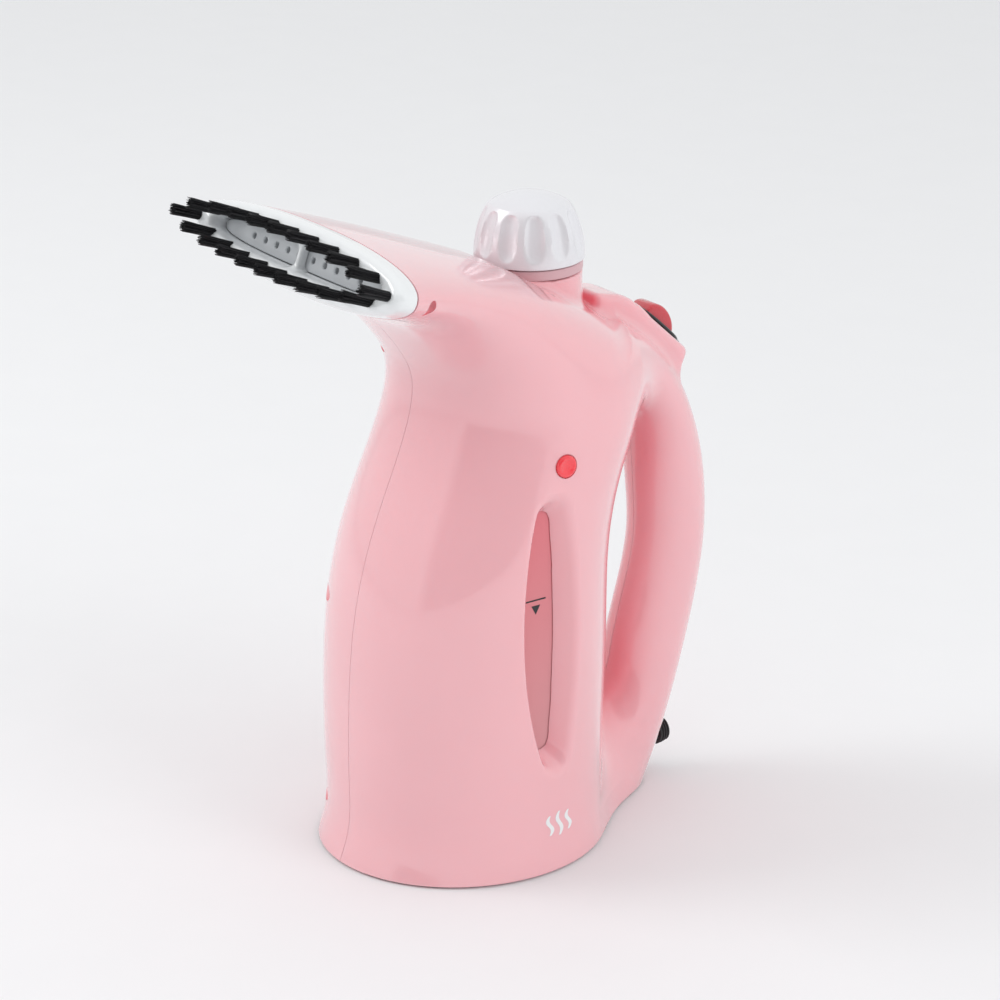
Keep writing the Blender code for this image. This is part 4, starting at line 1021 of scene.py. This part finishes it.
def make_screws():
    for index, (y, z) in enumerate(HOUSING_SCREWS):
        node = f"housing_screw_{index + 1}"
        make_screw(node, -0.0095, SCREW_SEAT_X, 0.0106, 0.0112, (0, y, z), (-1, 0, 0))
    for index, (x, y) in enumerate(BASE_SCREWS):
        node = f"base_screw_{index + 1}"
        make_screw(node, -0.0140, GAP - BASE_LOW, -0.0006, -GAP, (x, y, 0), (0, 0, -1))


def level_ring(front, rear, half_width, power, z, points):
    centre, half = (front + rear) / 2, (rear - front) / 2
    return [at(half_width * across, centre + half * along, z) for along, across in oval_points(power, points)]


def make_base():
    stack = [(0.0006, BASE_LOW), (0.0002, BASE_LOW + 0.0002), (0.0, BASE_LOW + 0.0006), (0.0, BASE_HIGH)]
    rings = [level_ring(-0.0671 + i, 0.0412 - i, 0.0514 - i, 2.0, z, 160) for i, z in stack]
    plate = skin("base_plate_skin", rings)
    stack = [(0.0006, BASE_LOW + 0.00004), (0.0002, BASE_LOW + 0.00024), (0.0, BASE_LOW + 0.0006),
             (0.0, BASE_HIGH - 0.0001)]
    rings = [level_ring(0.0250, 0.0715 - i, 0.0141 - i, 2.1, z, 64) for i, z in stack]
    join(plate, skin("base_tail", rings))
    for x, y in BASE_SCREWS:
        cut(plate, rod(SCREW_RADIUS + GAP, at(x, y, -0.01), at(x, y, 0.02)))
    finish_piece(smooth(plate), "housing", "pink_plastic", "base_plate")
    for index, (x, y) in enumerate(FEET):
        outline = [(0.0, BASE_LOW - GAP), (0.0055, BASE_LOW - GAP), (0.0050, 0.0), (0.0034, 0.0)]
        outline = rounded(outline + [(0.0026, 0.0005), (0.0, 0.0005)], 0.0003, 3)
        foot = turned(f"foot_{index + 1}_skin", outline, 48, (x, y, 0))
        finish_piece(foot, "housing", "rubber", f"foot_{index + 1}")


make_screws()
make_base()


# ---- materials

def add_node(tree, kind, **sockets):
    node = tree.nodes.new(kind)
    for name, value in sockets.items():
        node.inputs[name.replace("_", " ")].default_value = value
    return node


def moulded(name, colour, roughness, grain=6000.0, bump=0.03, tint=0.03, swing=0.05, painted_shade_colour=None, **sockets):
    """Moulded or machined surface: slow colour drift, fine grain and sheen, and painted shade that darkens the
    colour where ambient occlusion finds the part's own hollows.
    """
    material = bpy.data.materials.new(name)
    material.use_nodes = True
    tree = material.node_tree
    wire, shader = tree.links.new, tree.nodes["Principled BSDF"]
    for key, value in sockets.items():
        shader.inputs[key.replace("_", " ")].default_value = value
    place = tree.nodes.new("ShaderNodeTexCoord")
    drift = add_node(tree, "ShaderNodeTexNoise", Scale=28.0, Detail=3.0)
    swell = add_node(tree, "ShaderNodeTexNoise", Scale=260.0, Detail=1.0)
    fine = add_node(tree, "ShaderNodeTexNoise", Scale=grain, Detail=2.0)
    for node in (drift, swell, fine):
        wire(place.outputs["Object"], node.inputs["Vector"])
    ramp = tree.nodes.new("ShaderNodeValToRGB")
    ramp.color_ramp.elements[0].position, ramp.color_ramp.elements[1].position = 0.3, 0.7
    ramp.color_ramp.elements[0].color = (*[c * (1 - tint) for c in colour], 1.0)
    ramp.color_ramp.elements[1].color = (*[min(1.0, c * (1 + tint)) for c in colour], 1.0)
    wire(drift.outputs["Fac"], ramp.inputs["Fac"])
    result = ramp.outputs["Color"]
    # Painted shade: where ambient occlusion finds the part's own hollows, the colour is pulled towards the
    # darker shade colour.
    if painted_shade_colour:
        hollow = add_node(tree, "ShaderNodeAmbientOcclusion", Distance=0.045)
        hollow.samples = 6
        hollow.only_local = True
        mix = tree.nodes.new("ShaderNodeMix")
        mix.data_type = "RGBA"
        fade = add_node(tree, "ShaderNodeMapRange", From_Min=0.15, From_Max=0.92)
        wire(hollow.outputs["AO"], fade.inputs["Value"])
        wire(fade.outputs["Result"], mix.inputs["Factor"])
        mix.inputs[6].default_value = (*painted_shade_colour, 1.0)
        wire(result, mix.inputs[7])
        result = mix.outputs[2]
    wire(result, shader.inputs["Base Color"])
    low, high = max(0.02, roughness - swing), roughness + swing
    sheen = add_node(tree, "ShaderNodeMapRange", To_Min=low, To_Max=high)
    wire(fine.outputs["Fac"], sheen.inputs["Value"])
    wire(sheen.outputs["Result"], shader.inputs["Roughness"])
    wave = add_node(tree, "ShaderNodeBump", Strength=bump, Distance=0.0002)
    wire(swell.outputs["Fac"], wave.inputs["Height"])
    relief = add_node(tree, "ShaderNodeBump", Strength=min(1.0, bump * 4), Distance=0.00002)
    wire(fine.outputs["Fac"], relief.inputs["Height"])
    wire(wave.outputs["Normal"], relief.inputs["Normal"])
    wire(relief.outputs["Normal"], shader.inputs["Normal"])
    return material


def frosted_tank():
    """Frosted smoke-pink tank wall, redder near its top."""
    colour = (0.66, 0.30, 0.32)
    material = moulded("tank_frosted", colour, 0.30, 5000.0, 0.02, 0.02, 0.04, Specular_IOR_Level=0.4)
    tree = material.node_tree
    wire = tree.links.new
    place = tree.nodes.new("ShaderNodeTexCoord")
    split = tree.nodes.new("ShaderNodeSeparateXYZ")
    climb = add_node(tree, "ShaderNodeMapRange", From_Min=0.055, From_Max=0.150)
    mix = tree.nodes.new("ShaderNodeMix")
    mix.data_type = "RGBA"
    mix.inputs[7].default_value = (0.72, 0.19, 0.22, 1.0)
    shader = tree.nodes["Principled BSDF"]
    plain_colour = shader.inputs["Base Color"].links[0].from_socket
    wire(place.outputs["Object"], split.inputs["Vector"])
    wire(split.outputs["Z"], climb.inputs["Value"])
    wire(climb.outputs["Result"], mix.inputs["Factor"])
    wire(plain_colour, mix.inputs[6])
    wire(mix.outputs[2], shader.inputs["Base Color"])
    return material


def faceted_red(name, colour, glow):
    """Clear red plastic with the small facets of a prism lens behind its face, and a faint painted glow from
    its emission.
    """
    material = moulded(
        name, colour, 0.14, 6000.0, 0.02, 0.05, 0.03, Coat_Weight=0.6, Coat_Roughness=0.03,
        Emission_Color=(*colour, 1.0), Emission_Strength=glow)
    tree = material.node_tree
    wire = tree.links.new
    place = tree.nodes.new("ShaderNodeTexCoord")
    cells = add_node(tree, "ShaderNodeTexVoronoi", Scale=1300.0)
    facets = add_node(tree, "ShaderNodeBump", Strength=0.5, Distance=0.0003)
    wire(place.outputs["Object"], cells.inputs["Vector"])
    wire(cells.outputs["Distance"], facets.inputs["Height"])
    wire(facets.outputs["Normal"], tree.nodes["Principled BSDF"].inputs["Normal"])
    return material


def make_materials():
    coat = {"Coat_Weight": 0.9, "Coat_Roughness": 0.03}
    soft = {"Subsurface_Weight": 0.15, "Subsurface_Scale": 0.004, "Subsurface_Radius": (1.0, 0.45, 0.40)}
    return {
        # Painted shade: the last colour given to the pink and the white plastic is mixed into their hollows by
        # ambient occlusion.
        "pink_plastic": moulded(
            "pink_gloss", (0.870, 0.455, 0.490), 0.14, 6000.0, 0.02, 0.010, 0.03,
            (0.93, 0.20, 0.25), **soft, **coat),
        "white_plastic": moulded(
            "white_gloss", (0.82, 0.84, 0.85), 0.18, 6000.0, 0.02, 0.008, 0.03, (0.70, 0.72, 0.74), **coat),
        # Grey plastic is a darker copy of the white plastic: painted shade for the steam plate down in the
        # nozzle's recess.
        "grey_plastic": moulded("plate_painted_shade", (0.56, 0.58, 0.60), 0.42, 8000.0, 0.06, 0.03),
        "pearl_plastic": moulded(
            "pearl_silver", (0.78, 0.78, 0.81), 0.26, 9000.0, 0.04, 0.015, 0.08, Metallic=0.12,
            Coat_Weight=0.25, Coat_Roughness=0.12),
        "bristle_black": moulded("bristle_black", (0.010, 0.010, 0.012), 0.55, 8000.0, 0.1, 0.3, 0.1),
        "black_plastic": moulded("black_satin", (0.020, 0.021, 0.024), 0.32, 7000.0, 0.10, 0.15, 0.06),
        # The lens's emission is a painted glow.
        "red_clear": faceted_red("red_lens", (0.84, 0.050, 0.065), 0.10),
        "collar_plastic": moulded("collar_pink", (0.66, 0.42, 0.45), 0.34, 6000.0, 0.04, 0.02),
        "tank_plastic": frosted_tank(),
        "silicone": moulded(
            "silicone_milky", (0.68, 0.68, 0.66), 0.55, 4000.0, 0.08, 0.03, Subsurface_Weight=0.2),
        "aluminium": moulded(
            "cast_aluminium", (0.60, 0.61, 0.62), 0.38, 3000.0, 0.35, 0.06, 0.12, Metallic=1.0),
        "steel": moulded("bright_steel", (0.56, 0.56, 0.57), 0.26, 6000.0, 0.12, 0.05, 0.10, Metallic=1.0),
        "rubber": moulded("boot_rubber", (0.022, 0.022, 0.024), 0.62, 5000.0, 0.20, 0.15, 0.08),
        "ceramic": moulded("glazed_ceramic", (0.76, 0.74, 0.69), 0.45, 4000.0, 0.12, 0.03),
        "brass": moulded("turned_brass", (0.62, 0.45, 0.19), 0.28, 6000.0, 0.10, 0.05, 0.08, Metallic=1.0),
    }


def paint(item, material):
    item.data.materials.clear()
    item.data.materials.append(material)


def paint_all():
    """New pieces take the material of their slot; CAD nodes get it in their own material slots."""
    materials = make_materials()
    for piece in bpy.data.objects:
        if piece.type == "MESH" and piece.get("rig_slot"):
            paint(piece, materials[piece["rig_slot"]])
    # The rocker's faint emission is a painted glow on clear red plastic.
    paint(bpy.data.objects["rocker_skin"], faceted_red("red_rocker", (0.56, 0.040, 0.055), 0.03))
    for item in frame["nodes"].values():
        for slot in item.material_slots:
            base = slot.material.name.split(".")[0] if slot.material else "steel"
            slot.material = materials.get(base, materials["steel"])


paint_all()


# ---- stage, camera and lights

def make_stage():
    bm = bmesh.new()
    bmesh.ops.create_grid(bm, x_segments=1, y_segments=1, size=4.0)
    mesh = bpy.data.meshes.new("floor")
    bm.to_mesh(mesh)
    bm.free()
    floor = link("floor", mesh)
    floor.data.materials.append(moulded("floor_white", (0.865, 0.870, 0.882), 0.7, 300.0, 0.0, 0.004, 0.02))


def make_world():
    """Even studio light; in glossy reflections the space behind the camera is dark."""
    world = bpy.data.worlds.new("studio")
    world.use_nodes = True
    tree = world.node_tree
    wire = tree.links.new
    tree.nodes["Background"].inputs["Color"].default_value = (0.99, 0.995, 1.0, 1.0)
    place, rays = tree.nodes.new("ShaderNodeTexCoord"), tree.nodes.new("ShaderNodeLightPath")
    facing = tree.nodes.new("ShaderNodeVectorMath")
    facing.operation = "DOT_PRODUCT"
    facing.inputs[1].default_value = (0.806, -0.571, 0.156)
    panel = add_node(tree, "ShaderNodeMapRange", From_Min=0.60, From_Max=0.72, To_Min=0.90, To_Max=0.06)
    choose = tree.nodes.new("ShaderNodeMix")
    choose.inputs[2].default_value = 0.82
    wire(place.outputs["Generated"], facing.inputs[0])
    wire(facing.outputs["Value"], panel.inputs["Value"])
    wire(rays.outputs["Is Glossy Ray"], choose.inputs[0])
    wire(panel.outputs["Result"], choose.inputs[3])
    wire(choose.outputs[0], tree.nodes["Background"].inputs["Strength"])
    bpy.context.scene.world = world


def area_light(name, place, target, size, power):
    data = bpy.data.lights.new(name, "AREA")
    data.shape = "RECTANGLE"
    data.size, data.size_y = size
    data.energy = power
    item = link(name, data)
    place, target = Vector(place), Vector(target)
    item.matrix_world = frame_matrix(place, place - target)
    return item


def make_camera():
    data = bpy.data.cameras.new("camera")
    data.sensor_width = 36.0
    data.lens = CAMERA_LENS
    data.clip_start, data.clip_end = 0.05, 50.0
    item = link("camera", data)
    item.location = CAMERA_PLACE
    item.rotation_euler = (math.pi / 2 - CAMERA_PITCH, 0.0, CAMERA_YAW)
    bpy.context.scene.camera = item


make_stage()
make_world()
make_camera()
area_light("key", (-0.9, -1.1, 1.3), (0, 0, 0.12), (0.9, 0.9), 9.0)
area_light("side", (1.4, 0.5, 0.9), (0, 0, 0.12), (0.7, 1.0), 6.0).visible_glossy = False
bpy.context.scene.view_settings.view_transform = "Standard"
